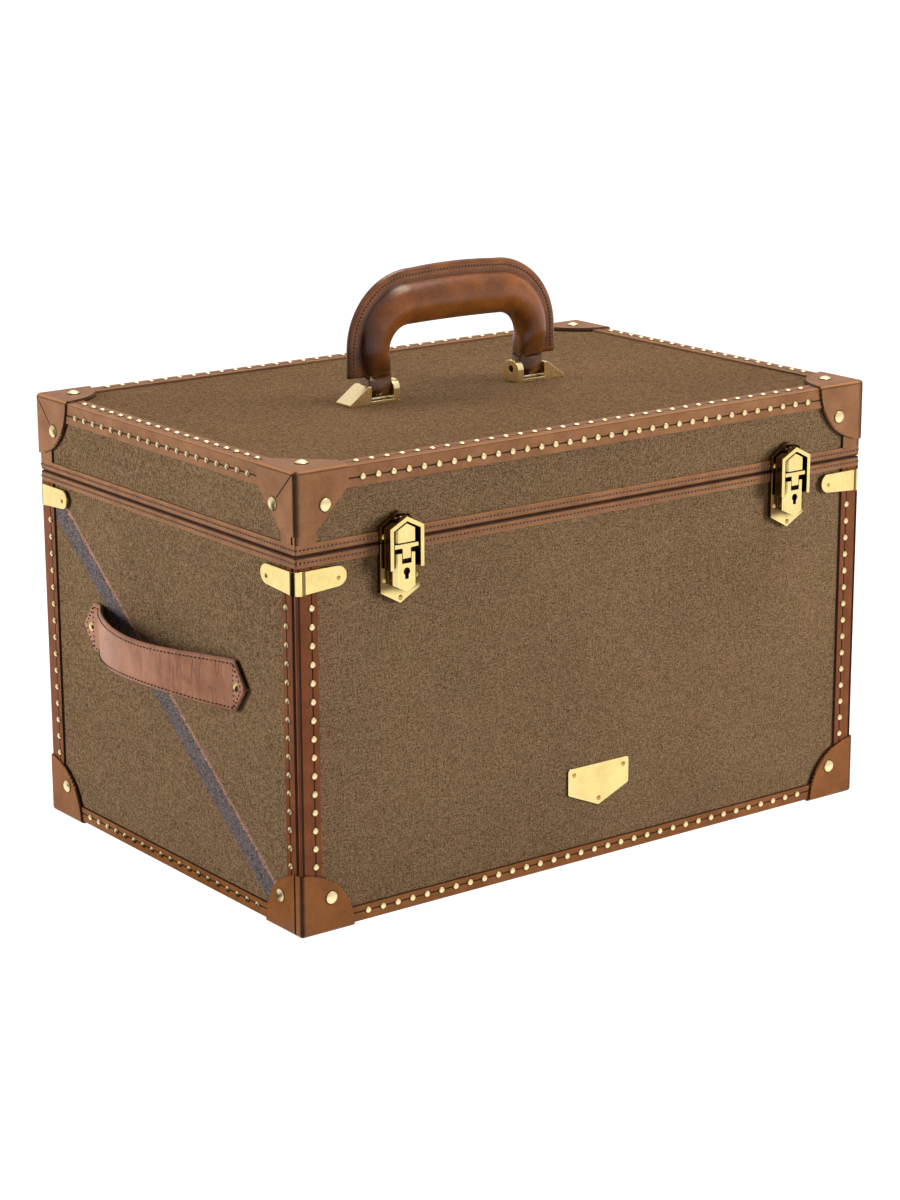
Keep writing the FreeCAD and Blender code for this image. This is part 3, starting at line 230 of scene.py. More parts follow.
def woven_threads():
    """A group for plain woven cloth: the height of its threads and their uneven tone."""
    group, start, end = new_group("woven threads", {"Thread Spacing": 0.9 * MM}, ("Height", "Tone"))
    lengths = use_group(group, FACE_LENGTHS)
    spot = own_place(group)
    wander = scaled(group, noise_at(group, spot, WANDER_SCALE), WANDER_THREADS)
    across, up = (
        work_out(group, "ADD", work_out(group, "DIVIDE", length, start["Thread Spacing"]), wander)
        for length in lengths
    )
    cells = [work_out(group, "FLOOR", part) for part in (across, up)]
    ridges = [
        work_out(group, "ABSOLUTE", work_out(group, "SINE", scaled(group, part, math.pi)))
        for part in (across, up)
    ]
    over = work_out(group, "FLOORED_MODULO", work_out(group, "ADD", *cells), 2.0)

    def on_top(warp, weft):
        return scaled(group, work_out(group, "SUBTRACT", warp, weft), over, weft)

    def bulge(ridge, length):
        swell = scaled(group, length, BULGE_SWING, BULGE_LEAST)
        return scaled(group, ridge, swell)

    feed(group, end["Height"], on_top(bulge(*ridges), bulge(*ridges[::-1])))
    runs = [work_out(group, "FLOOR", work_out(group, "DIVIDE", part, RUN_THREADS)) for part in (up, across)]
    crossing = {"Vector": joined(group, on_top(*cells), on_top(*runs), over)}
    thread = wire(group, add(group, "TexWhiteNoise", noise_dimensions="3D"), crossing)
    fibres = scaled(group, noise_at(group, spot, FIBRE_SCALE), FIBRE_TONE)
    tone = scaled(group, thread["Value"], CROSSING_TONE, fibres)
    tone = work_out(group, "ADD", tone, TONE_LEVEL)
    uneven = noise_at(group, spot, UNEVEN_SCALE, 1.0)
    feed(group, end["Tone"], scaled(group, uneven, UNEVEN_TONE, tone))
    return group


WOVEN_THREADS = woven_threads()
print("group:", WOVEN_THREADS.name)

# %% [markdown]
# ## Leather grain
# The leather is smooth and vegetable tanned: fine pebbles and pores, and a slow change of colour where the
# hide took more or less oil. Voronoi cells give the pebbles, two noises give the pores and the slow change.

# %% Group: leather grain
PORE_SHARE = 0.7
MOTTLE_RANGE = (0.33, 0.67)


def ramp(tree, value, low, high, how="LINEAR"):
    """A rise from 0 to 1 between two values. Gives its output."""
    values = {"Value": value, "From Min": low, "From Max": high}
    return wire(tree, add(tree, "MapRange", interpolation_type=how), values)[0]


def leather_grain():
    """A group for leather: the height of its grain, its slow change of colour and its pores."""
    sizes = {"Grain Size": 0.9 * MM, "Mottle Size": 14 * MM}
    group, start, end = new_group("leather grain", sizes, ("Height", "Mottle", "Pores"))
    spot = own_place(group)

    def scale_of(size):
        return work_out(group, "DIVIDE", 1.0, size)

    cells = {"Vector": spot, "Scale": scale_of(start["Grain Size"])}
    pebbles = wire(group, add(group, "TexVoronoi", feature="F1"), cells)
    pores = noise_at(group, spot, scale_of(scaled(group, start["Grain Size"], PORE_SHARE)), 3.0)
    mottle = noise_at(group, spot, scale_of(start["Mottle Size"]), 5.0, 0.6)
    feed(group, end["Height"], work_out(group, "ADD", pebbles["Distance"], pores))
    feed(group, end["Mottle"], ramp(group, mottle, *MOTTLE_RANGE))
    feed(group, end["Pores"], pores)
    return group


LEATHER_GRAIN = leather_grain()
print("group:", LEATHER_GRAIN.name)

# %% [markdown]
# ## Edges and grooves
# Leather wears pale along its edges, brass is rubbed bright there, and dirt darkens pressed grooves. The
# same two marks also carry painted light: a painted highlight along the lid's crest, painted shade on cut
# sides and in grooves, seams, folds, hollows, round nail rims and on the grip's legs and fin, and dark painted
# reflections on the brackets' bends. A pointiness node could guess where those are, but it depends on how
# dense a mesh is. The mesh code knows exactly which faces it made for an edge or a groove, so it marks them,
# and this group reads the marks.

# %% Group: edge and groove marks
PATCH_SCALE = 180.0


def wear_and_painted_light_marks():
    """A group that gives the marks the mesh code leaves, for wear, dirt, painted highlight and painted shade,
    broken up a little.
    """
    group, start, end = new_group("wear and painted light marks", {"Break Up": 0.5}, ("Edge", "Groove"))
    patchy = noise_at(group, own_place(group), PATCH_SCALE, 3.0)
    loss = scaled(group, patchy, start["Break Up"])
    for label in ("Edge", "Groove"):
        mark = add(group, "Attribute", attribute_name=label.lower()).outputs["Fac"]
        lost = scaled(group, loss, mark)
        feed(group, end[label], work_out(group, "SUBTRACT", mark, lost))
    return group


WEAR_AND_PAINTED_LIGHT_MARKS = wear_and_painted_light_marks()
print("group:", WEAR_AND_PAINTED_LIGHT_MARKS.name)

# %% [markdown]
# ## The canvas finish
# Olive-brown cotton with light and dark threads. The base also has a woven-in stripe on both short sides:
# a grey-blue band with a thin dusty-red line above it, running from the upper back to the lower front. It
# could be a second piece of cloth, but it is only colour in the same weave, so it is drawn as a distance
# from a slanted line in the same material, and only where a face looks sideways.

# %% Canvas
CANVAS_DARK = (0.058, 0.034, 0.015, 1)
CANVAS_OLIVE = (0.315, 0.217, 0.110, 1)
CANVAS_ROSY = (0.345, 0.206, 0.122, 1)
CANVAS_THREAD = 0.62 * MM
CANVAS_DEEP = 0.12 * MM
STRIPE_BLUE = (0.108, 0.096, 0.104, 1)
STRIPE_RED = (0.38, 0.190, 0.148, 1)
STRIPE_SLOPE = 0.788
STRIPE_LEVEL = 104.4 * MM
STRIPE_RAGGED = 2.2 * MM
STRIPE_SOFT = 0.4 * MM
STRIPES = ((STRIPE_BLUE, -12.2 * MM, 0.0, 0.85), (STRIPE_RED, 0.0, 2.3 * MM, 0.7))
SIDEWAYS = 0.7


def new_finish(name):
    """A new material. Gives it with its node tree and its shader."""
    finish = bpy.data.materials.new(name)
    finish.use_nodes = True
    return finish, finish.node_tree, finish.node_tree.nodes["Principled BSDF"]


def press(tree, shader, height, depth, strength=1.0):
    """Let a height shape the surface through a Bump node."""
    bump = wire(tree, add(tree, "Bump"), {"Strength": strength, "Distance": depth, "Height": height})
    feed(tree, shader.inputs["Normal"], bump[0])


def between(tree, value, low, high, soft):
    """A mask that is 1 between two values, with soft ends."""
    rise, fall = (ramp(tree, value, limit - soft, limit + soft, "SMOOTHSTEP") for limit in (low, high))
    return work_out(tree, "SUBTRACT", rise, fall)


def shaded(tree, colour, shade):
    """A colour made darker or lighter by a number."""
    return mix_colour(tree, 1.0, colour, joined(tree, shade, shade, shade), "MULTIPLY")


def slanted_stripe(tree, cloth, tone):
    """Lay the slanted stripe over the cloth's colour on the short sides."""
    spot = add(tree, "TexCoord").outputs
    _, along, up = parts_of(tree, spot["Object"])
    across = work_out(tree, "ABSOLUTE", parts_of(tree, spot["Normal"])[0])
    sideways = work_out(tree, "GREATER_THAN", across, SIDEWAYS)
    line = scaled(tree, along, STRIPE_SLOPE, STRIPE_LEVEL)
    drop = work_out(tree, "SUBTRACT", up, line)
    ragged = scaled(tree, work_out(tree, "SUBTRACT", tone, 0.5), STRIPE_RAGGED)
    distance = scaled(tree, drop, 1 / math.hypot(1, STRIPE_SLOPE), ragged)
    shade = scaled(tree, tone, 1.5, 0.25)
    for colour, low, high, cover in STRIPES:
        mask = scaled(tree, between(tree, distance, low, high, STRIPE_SOFT), sideways)
        cloth = mix_colour(tree, scaled(tree, mask, cover), cloth, shaded(tree, colour, shade))
    return cloth


def canvas_finish(name, striped):
    """Olive-brown cotton canvas, with or without the slanted stripe."""
    finish, tree, shader = new_finish(name)
    threads = use_group(tree, WOVEN_THREADS, {"Thread Spacing": CANVAS_THREAD})
    spot = own_place(tree)
    cloud = scaled(tree, noise_at(tree, spot, 11.0, 4.0), 0.3, -0.15)
    tone = work_out(tree, "ADD", threads["Tone"], cloud)
    light = mix_colour(tree, noise_at(tree, spot, 48.0, 3.0), CANVAS_OLIVE, CANVAS_ROSY)
    # The gaps between threads are painted darker, as shade.
    thread_shade = scaled(tree, threads["Height"], 0.25, 0.72)
    cloth = shaded(tree, mix_colour(tree, tone, CANVAS_DARK, light), thread_shade)
    if striped:
        cloth = slanted_stripe(tree, cloth, threads["Tone"])
    rough = scaled(tree, threads["Tone"], -0.12, 0.9)
    wire(tree, shader, {"Base Color": cloth, "Roughness": rough, "Specular IOR Level": 0.05})
    press(tree, shader, threads["Height"], CANVAS_DEEP)
    return finish


def tell(*finishes):
    """Print the names of new finishes."""
    print("finishes:", ", ".join(finish.name for finish in finishes))


BASE_CANVAS = canvas_finish("base canvas", True)
LID_CANVAS = canvas_finish("lid canvas", False)
tell(BASE_CANVAS, LID_CANVAS)

# %% [markdown]
# ## The leather finishes
# The bindings are mid-brown with a satin surface; the grip is darker, glossier and more orange where hands
# have polished it. Both are one recipe with other colours: grain for the bump, mottle for the colour, pale
# edges, worn and along the lid's crest a painted highlight, and nearly black cut sides and grooves, darkened
# as dirt and as painted shade. The lid's leather is a lighter copy of the base's, as painted light.

# %% Leather
BASE_DARK, BASE_LIGHT = (0.168, 0.060, 0.017, 1), (0.235, 0.088, 0.026, 1)
UPRIGHT_DARK, UPRIGHT_LIGHT = (0.122, 0.036, 0.011, 1), (0.180, 0.057, 0.019, 1)
# The lid's leather is a lighter copy of the base's: painted light.
LID_DARK, LID_LIGHT = (0.195, 0.088, 0.038, 1), (0.275, 0.130, 0.058, 1)
GRIP_DARK, GRIP_LIGHT = (0.098, 0.026, 0.0035, 1), (0.220, 0.067, 0.0085, 1)
STRAP_DARK, STRAP_LIGHT = (0.250, 0.109, 0.063, 1), (0.355, 0.165, 0.095, 1)
# The dark of grooves, seams, cut sides and creases: dirt, and painted shade.
GROOVE_DIRT_AND_SHADE = (0.022, 0.008, 0.005, 1)
WORN_GAIN, WORN_SHARE = 1.5, 0.7
CREASE_STRETCH = (1.0, 150.0, 28.0)
CREASE_RANGE = (0.485, 0.515, 0.02)
CREASE_FROM, CREASE_FULL = 25 * MM, -45 * MM
GRAIN_DEEP = 0.06 * MM


def drawn_noise(tree, stretch, detail, roughness=0.5):
    """Noise with its own scale along each axis, so that it is drawn out into streaks."""
    drawn = wire(tree, add(tree, "Mapping"), {"Vector": own_place(tree), "Scale": stretch})
    return noise_at(tree, drawn[0], 1.0, detail, roughness)


def crease_lines(tree):
    """Fine creases across a strap, in its front half."""
    crease = between(tree, drawn_noise(tree, CREASE_STRETCH, 3.0, 0.6), *CREASE_RANGE)
    along = parts_of(tree, own_place(tree))[1]
    return scaled(tree, crease, ramp(tree, along, CREASE_FROM, CREASE_FULL))


def leather_finish(name, dark, light, roughness=0.48, gloss=0.15, creased=False):
    """Smooth leather between two colours, with pale edges, grooves darkened as dirt and painted shade, and
    perhaps creases.
    """
    finish, tree, shader = new_finish(name)
    grain = use_group(tree, LEATHER_GRAIN)
    marks = use_group(tree, WEAR_AND_PAINTED_LIGHT_MARKS, {"Break Up": 0.2})
    speck = scaled(tree, grain["Pores"], 0.5, 0.75)
    hide = shaded(tree, mix_colour(tree, grain["Mottle"], dark, light), speck)
    # Marked edges go paler: wear, and along the lid's crest a painted highlight.
    worn = [WORN_GAIN * part for part in light[:3]] + [1]
    hide = mix_colour(tree, scaled(tree, marks["Edge"], WORN_SHARE), hide, worn)
    # Grooves, seams, cut sides and folds go dark: dirt, and painted shade.
    hide = mix_colour(tree, marks["Groove"], hide, GROOVE_DIRT_AND_SHADE)
    height = grain["Height"]
    if creased:
        crease = crease_lines(tree)
        # Creases are pressed in and darkened: dirt, and painted shade in them.
        hide = mix_colour(tree, scaled(tree, crease, 0.3), hide, GROOVE_DIRT_AND_SHADE)
        height = scaled(tree, crease, -5.0, height)
    rough = scaled(tree, grain["Pores"], 0.25, roughness - 0.12)
    wire(tree, shader, {"Base Color": hide, "Roughness": rough, "Specular IOR Level": gloss})
    press(tree, shader, height, GRAIN_DEEP, 0.6)
    return finish


BASE_LEATHER = leather_finish("base leather", BASE_DARK, BASE_LIGHT)
UPRIGHT_LEATHER = leather_finish("upright leather", UPRIGHT_DARK, UPRIGHT_LIGHT)
LIT_LID_LEATHER = leather_finish("lit lid leather", LID_DARK, LID_LIGHT)
STRAP_LEATHER = leather_finish("strap leather", STRAP_DARK, STRAP_LIGHT, 0.42, 0.3, True)
GRIP_LEATHER = leather_finish("grip leather", GRIP_DARK, GRIP_LIGHT, 0.29, 0.5)
tell(BASE_LEATHER, UPRIGHT_LEATHER, LIT_LID_LEATHER, STRAP_LEATHER, GRIP_LEATHER)

# %% [markdown]
# ## The thread
# The leather is sewn with waxed linen, dark on the straps and pale on the rims and the grip. A real thread
# is twisted from strands. Modelling the strands would be far too fine, so a diagonal wave texture draws the
# twist on each stitch.

# %% Thread
DARK_THREAD = (0.012, 0.005, 0.003, 1), (0.07, 0.03, 0.018, 1)
LIGHT_THREAD = (0.22, 0.11, 0.07, 1), (0.50, 0.29, 0.20, 1)
STRAND_SCALE, FUZZ_SCALE = 900.0, 2500.0
STRAND_DEEP = 0.05 * MM


def thread_finish(name, dark, light):
    """Waxed linen thread with a twist."""
    finish, tree, shader = new_finish(name)
    spot = own_place(tree)
    bands = add(tree, "TexWave", wave_type="BANDS", bands_direction="DIAGONAL")
    strands = wire(tree, bands, {"Vector": spot, "Scale": STRAND_SCALE})["Fac"]
    fuzz = noise_at(tree, spot, FUZZ_SCALE)
    tone = scaled(tree, strands, fuzz)
    rough = scaled(tree, fuzz, 0.2, 0.5)
    wire(tree, shader, {"Base Color": mix_colour(tree, tone, dark, light), "Roughness": rough})
    press(tree, shader, strands, STRAND_DEEP)
    return finish


# The dark thread also makes the beads that stand for the holes' painted shade.
THREAD = thread_finish("dark thread", *DARK_THREAD)
PALE_THREAD = thread_finish("pale thread", *LIGHT_THREAD)
tell(THREAD, PALE_THREAD)

# %% [markdown]
# ## The brass finish
# All the metal is polished brass: pale yellow where it mirrors something bright, almost black where it
# mirrors something dark. Polished metal shows its surface through tiny differences in roughness, so the
# finish has a slow tarnish, fine rubbing marks in one direction, brighter edges and dark recesses: patina
# where no polishing cloth comes, and painted shade and painted dark reflections. Pins and small rivets get
# the same finish in darker colours. Nails and handle brackets get a paler colour, as painted light, and more
# satin, so that they stay bright from every side.

# %% Brass
BRASS_CLEAN, BRASS_DULL = (0.90, 0.72, 0.30, 1), (0.70, 0.48, 0.17, 1)
BRASS_BRIGHT = (1.0, 0.88, 0.48, 1)
BRASS_PATINA_AND_SHADE = (0.085, 0.038, 0.014, 1)
AGED_CLEAN, AGED_DULL = (0.10, 0.055, 0.020, 1), (0.04, 0.020, 0.010, 1)
RIVET_CLEAN, RIVET_DULL = (0.62, 0.40, 0.12, 1), (0.26, 0.13, 0.045, 1)
# Paler brass for nails and handle brackets: painted light.
NAIL_LIT_CLEAN, NAIL_LIT_DULL = (1.0, 0.82, 0.46, 1), (0.96, 0.72, 0.35, 1)
RUB_STRETCH = (260.0, 260.0, 2600.0)
TARNISH_SCALE = 90.0
RUB_DEEP = 0.01 * MM
SATIN_BRACKET, SATIN_NAIL = 0.14, 0.22


def brass_finish(name, clean, dull, satin=0.06):
    """Polished brass, slightly tarnished, with fine rubbing marks, brighter edges and dark recesses of patina
    and painted shade.
    """
    finish, tree, shader = new_finish(name)
    rubbed = drawn_noise(tree, RUB_STRETCH, 2.0)
    tarnish = noise_at(tree, own_place(tree), TARNISH_SCALE, 5.0, 0.65)
    marks = use_group(tree, WEAR_AND_PAINTED_LIGHT_MARKS, {"Break Up": 0.15})
    metal = mix_colour(tree, scaled(tree, tarnish, 1.4, -0.45), clean, dull)
    metal = mix_colour(tree, scaled(tree, marks["Edge"], WORN_SHARE), metal, BRASS_BRIGHT)
    # Marked faces go dark: patina in hollows, and painted shade and painted dark reflections.
    metal = mix_colour(tree, marks["Groove"], metal, BRASS_PATINA_AND_SHADE)
    rough = scaled(tree, rubbed, 0.10, satin)
    rough = scaled(tree, tarnish, 0.16, rough)
    wire(tree, shader, {"Base Color": metal, "Metallic": 1.0, "Roughness": rough})
    press(tree, shader, rubbed, RUB_DEEP, 0.5)
    return finish


BRASS = brass_finish("polished brass", BRASS_CLEAN, BRASS_DULL)
AGED_BRASS = brass_finish("aged brass", AGED_CLEAN, AGED_DULL)
RIVET_BRASS = brass_finish("rivet brass", RIVET_CLEAN, RIVET_DULL)
BRIGHT_BRASS = brass_finish("bright brass", NAIL_LIT_CLEAN, NAIL_LIT_DULL, SATIN_BRACKET)
LIT_NAIL_BRASS = brass_finish("lit nail brass", NAIL_LIT_CLEAN, NAIL_LIT_DULL, SATIN_NAIL)
tell(BRASS, AGED_BRASS, RIVET_BRASS, BRIGHT_BRASS, LIT_NAIL_BRASS)

# %% [markdown]
# ## The finishes inside
# The photograph shows the case shut, so the inside is a guess: soft suede on the linings, the tray and the
# pads, as jewelry cases usually have, and plywood under the cover. Suede is a short nap that catches light
# at a glancing angle, which is what the shader's sheen is for.

# %% Suede and plywood
LINING_COLOURS = (0.20, 0.115, 0.06, 1), (0.40, 0.25, 0.145, 1)
TRAY_COLOURS = (0.15, 0.08, 0.042, 1), (0.31, 0.18, 0.10, 1)
PLY_COLOURS = (0.33, 0.19, 0.09, 1), (0.62, 0.44, 0.26, 1)
NAP_SCALE, BRUSHED_SCALE = 1600.0, 22.0
NAP_DEEP, PLY_DEEP = 0.15 * MM, 0.1 * MM
PLY_STRETCH = (12.0, 160.0, 160.0)
SUEDE_SHADER = {"Specular IOR Level": 0.2, "Sheen Weight": 0.35, "Sheen Roughness": 0.45}


def suede_finish(name, dark, light):
    """Soft suede between two colours, brushed in uneven patches."""
    finish, tree, shader = new_finish(name)
    spot = own_place(tree)
    nap = noise_at(tree, spot, NAP_SCALE, 2.0)
    brushed = noise_at(tree, spot, BRUSHED_SCALE, 4.0, 0.6)
    tone = scaled(tree, nap, 0.7, scaled(tree, brushed, 0.8, -0.25))
    rough = scaled(tree, brushed, 0.12, 0.82)
    colour = mix_colour(tree, tone, dark, light)
    wire(tree, shader, {"Base Color": colour, "Roughness": rough, **SUEDE_SHADER})
    press(tree, shader, nap, NAP_DEEP)
    return finish


def plywood_finish():
    """Birch plywood: fine streaks along the board."""
    finish, tree, shader = new_finish("birch plywood")
    streaks = drawn_noise(tree, PLY_STRETCH, 5.0, 0.6)
    rough = scaled(tree, streaks, 0.2, 0.5)
    wire(tree, shader, {"Base Color": mix_colour(tree, streaks, *PLY_COLOURS), "Roughness": rough})
    press(tree, shader, streaks, PLY_DEEP)
    return finish


LINING_SUEDE = suede_finish("lining suede", *LINING_COLOURS)
TRAY_SUEDE = suede_finish("tray suede", *TRAY_COLOURS)
PLYWOOD = plywood_finish()
tell(LINING_SUEDE, TRAY_SUEDE, PLYWOOD)

# %% [markdown]
# ## From a mesh to a piece
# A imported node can't be edited, but its mesh can be copied. The copy arrives as triangles, so they are
# joined into whole faces first. Real edges are never perfectly sharp: a small bevel gives each one a line of
# light, and its faces are marked as edge. Weighted normals keep the big flat faces flat beside the bevels.

# %% Copy, soften and mark a mesh
import bmesh

WELD = 1e-6
CUT_NEAR = 1e-7
FLAT = math.radians(0.5)
X, Y, Z = range(3)


def slice_across(shape, axis, place, keep_above=True):
    """Cut a mesh by a plane across an axis. Gives the edges of the cut."""
    normal = Vector([float(axis == one) for one in range(3)])
    cut = bmesh.ops.bisect_plane(
        shape, geom=shape.verts[:] + shape.edges[:] + shape.faces[:], dist=CUT_NEAR,
        plane_co=normal * place, plane_no=normal, clear_outer=not keep_above,
    )
    return [part for part in cut["geom_cut"] if isinstance(part, bmesh.types.BMEdge)]


def copy_of(node, is_ring=False):
    """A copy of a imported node's mesh with its flat faces whole again. A ring's faces stay in quarters."""
    shape = bmesh.new()
    shape.from_mesh(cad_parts[node].data)
    bmesh.ops.remove_doubles(shape, verts=shape.verts, dist=WELD)
    if is_ring:
        for axis in (X, Y):
            for edge in slice_across(shape, axis, 0.0):
                edge.seam = True
    bmesh.ops.dissolve_limit(
        shape, angle_limit=FLAT, verts=shape.verts, edges=shape.edges, delimit={"SEAM"}
    )
    return shape


def mark_layer(shape, label):
    """The layer of face marks that a finish reads by this name."""
    layers = shape.faces.layers.float
    return layers.get(label) or layers.new(label)


def mark_faces(shape, label, mark_of):
    """Mark each face with what a function gives for it, where that is more than its mark so far."""
    layer = mark_layer(shape, label)
    for face in shape.faces:
        face[layer] = max(face[layer], mark_of(face))


def round_edges(shape, edges, size, steps=2):
    """Bevel some edges, and mark the new faces as edge."""
    layer = mark_layer(shape, "edge")
    made = bmesh.ops.bevel(
        shape, geom=edges, offset=size, offset_type="OFFSET", segments=steps, profile=0.5,
        affect="EDGES", clamp_overlap=True,
    )
    for face in made["faces"]:
        face[layer] = 1.0
    shape.normal_update()


def sharp_edges(shape, sharper_than=40):
    """The edges where two faces meet at more than an angle in degrees."""
    shape.normal_update()
    limit = math.radians(sharper_than)
    return [edge for edge in shape.edges if edge.is_manifold and edge.calc_face_angle() > limit]


def soften(shape, size, steps=2):
    """Bevel every sharp edge of a mesh."""
    round_edges(shape, sharp_edges(shape), size, steps)
    return shape


print("helpers ready: slice_across, copy_of, mark_faces, soften")

# %% Keep a mesh as a piece
def as_piece(name, shape, body, slot, finish, *nodes):
    """Keep a mesh as a piece that rides on a body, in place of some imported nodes."""
    mesh = bpy.data.meshes.new(name)
    shape.to_mesh(mesh)
    shape.free()
    mesh.shade_smooth()
    mesh.materials.append(finish)
    piece = bpy.data.objects.new(name, mesh)
    bpy.context.collection.objects.link(piece)
    even = piece.modifiers.new("even normals", "WEIGHTED_NORMAL")
    even.keep_sharp = True
    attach(piece, body)
    if nodes:
        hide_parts(*nodes)
    return piece


print("helper ready: as_piece")

# %% [markdown]
# ## Canvas covers and linings
# One sheet of canvas is stretched over the base's boards and one over the lid's, turned over the rims and
# glued. A cloth simulation would only bring back the board's shape, so each sheet is the imported cover with
# its rounded edges. The suede linings inside are made alike.

# %% Covers and linings
SHEET_EDGE = 0.25 * MM


def stretched_sheet(name, node, body, slot, finish):
    """A sheet stretched over boards in the shape of an open box."""
    piece = as_piece(name, soften(copy_of(node, True), SHEET_EDGE), body, slot, finish, node)


stretched_sheet("base_canvas", "base_cloth", "base", "canvas", BASE_CANVAS)
stretched_sheet("lid_canvas", "lid_cloth", "lid", "canvas", LID_CANVAS)
stretched_sheet("base_suede", "base_lining", "base", "lining", LINING_SUEDE)
stretched_sheet("lid_suede", "lid_lining", "lid", "lining", LINING_SUEDE)

# %% [markdown]
# ## Pressed lines and cut sides
# Leather strips fold round every edge of the case. A line is pressed into each strip along its nails. On the
# short sides the front strip laps over the edge and ends in a deep dark seam, and on the front a crease runs
# beside the edge. A line could be painted, but a real groove catches the light, so the mesh is cut by four
# close planes and the two middle cuts are pushed in; their faces are darkened too, as dirt and painted shade.
# The strips' cut sides slope and are painted dark as shade, and the fold round an upright edge gets painted
# shade.

# %% Grooves
CASE_HALF = Vector((200 * MM, 132.5 * MM, 126 * MM))
CASE_MIDDLE = Vector((0, 0, 126 * MM))
CASE_TOP = 252 * MM
GROOVE_CUTS = (-0.5, -0.25, 0.25, 0.5)
GROOVE_FLOOR = 0.3
GROOVE_REACH = 0.51
FACING = 0.8


def sink(shape, aside, counts, facing, wide, deep):
    """Push the middle of a cut groove in along an axis, and mark its faces dark, as dirt and painted shade."""
    layer = mark_layer(shape, "groove")
    for vert in shape.verts:
        if aside(vert.co) < GROOVE_FLOOR * wide and abs(vert.normal[facing]) > FACING and counts(vert):
            vert.co[facing] -= math.copysign(deep, vert.normal[facing])
            for face in vert.link_faces:
                if all(aside(corner.co) < GROOVE_REACH * wide for corner in face.verts):
                    # The groove's faces are painted dark: dirt, and painted shade.
                    face[layer] = 1.0
    shape.normal_update()


def press_line(shape, axis, place, facing, wide, deep):
    """Press a groove where a plane across one axis meets the outer faces that look along another."""
    for shift in GROOVE_CUTS:
        slice_across(shape, axis, place + shift * wide)
    shape.normal_update()

    def aside(spot):
        return abs(spot[axis] - place)

    def is_outer(vert):
        return vert.normal[facing] * (vert.co[facing] - CASE_MIDDLE[facing]) > 0

    sink(shape, aside, is_outer, facing, wide, deep)


def press_pairs(shape, axis, inset, facing, groove):
    """Press the same groove at both ends of an axis."""
    for side in (-1, 1):
        press_line(shape, axis, side * (CASE_HALF[axis] - inset), facing, *groove)


print("helpers ready: press_line, press_pairs")

# %% Cut sides and folds
SKIVED = 0.8 * MM
FOOT_NEAR = 0.1 * MM
OUTER_SKIN = 1.6 * MM
LEATHER_DEEP = 3 * MM
SQUARE_ON = 0.6
TOP_EDGE = 5 * MM
FOLD_WIDE = {"base": 3.4 * MM, "lid": 4.6 * MM}
FOLD_CUTS = 7
FOLD_FACING = 0.45
FOLD_PAINTED_SHADE = 0.95
FOLD_FLAT = 0.35


def inset_of(spot, axis):
    """How far a place lies inside the case's box along an axis."""
    return CASE_HALF[axis] - abs(spot[axis] - CASE_MIDDLE[axis])


def wall_axis(face, ends=None):
    """The axis along which a leather piece's cut side stands on the case, or None for any other face."""
    middle = face.calc_center_median()
    if ends is not None and abs(face.normal[ends]) > FACING:
        return None
    for axis in (X, Y, Z):
        if inset_of(middle, axis) < OUTER_SKIN and abs(face.normal[axis]) > SQUARE_ON:
            return None
    for axis in (X, Y, Z):
        if inset_of(middle, axis) < LEATHER_DEEP and abs(face.normal[axis]) < SQUARE_ON:
            return axis
    return None


def skived(node, bevel, ends=None):
    """A copy of a leather piece with soft edges and sloping cut sides painted dark as shade, but for ends
    along an axis.
    """
    shape = copy_of(node)
    shape.normal_update()
    moves = {}
    for face in shape.faces:
        axis = wall_axis(face, ends)
        if axis is not None:
            deepest = max(inset_of(vert.co, axis) for vert in face.verts)
            for vert in face.verts:
                if inset_of(vert.co, axis) > deepest - FOOT_NEAR:
                    moves[vert] = moves.get(vert, Vector()) + face.normal
    for vert, way in moves.items():
        vert.co += way.normalized() * SKIVED
    soften(shape, bevel)
    # Cut sides are painted dark as shade.
    mark_faces(shape, "groove", lambda face: float(wall_axis(face, ends) is not None))
    return shape


def paint_top_edge_light(shape):
    """Mark the lid's upper edge: a painted highlight on faces tilted up along its crest, painted shade just
    under it.
    """
    edge, groove = mark_layer(shape, "edge"), mark_layer(shape, "groove")
    for face in shape.faces:
        if inset_of(face.calc_center_median(), Z) < TOP_EDGE:
            if 0.45 < face.normal.z < 0.9:
                face[edge] = 1.0
            elif 0.04 < face.normal.z <= 0.45:
                face[groove] = 0.55


def smooth_step(value):
    """A smooth rise from 0 to 1."""
    value = min(max(value, 0.0), 1.0)
    return value * value * (3 - 2 * value)


def paint_fold_shade(shape, wide):
    """Mark painted shade on the fold along an upright edge on the front or back, darkest at the edge."""
    for side in (-1, 1):
        for step in range(1, FOLD_CUTS + 1):
            slice_across(shape, X, side * (CASE_HALF.x - wide * step / FOLD_CUTS))
    shape.normal_update()

    def shade(face):
        inset = inset_of(face.calc_center_median(), X)
        is_fold = abs(face.normal.y) > FOLD_FACING and inset < wide
        return is_fold * FOLD_PAINTED_SHADE * (1 - smooth_step((inset / wide - FOLD_FLAT) / (1 - FOLD_FLAT)))

    mark_faces(shape, "groove", shade)


print("helpers ready: skived, paint_top_edge_light, paint_fold_shade")

# %% [markdown]
# ## The strips along the edges
# Three sets of strips use those helpers: the base's uprights, the strips along its bottom and the strips
# round the lid. They could be one piece of leather, but each set has its own tone, the lid's lighter as
# painted light, and its nails at its own distance from the edge, so each set is a piece. The grooves are
# pressed last, because the cut sides are found on whole faces.

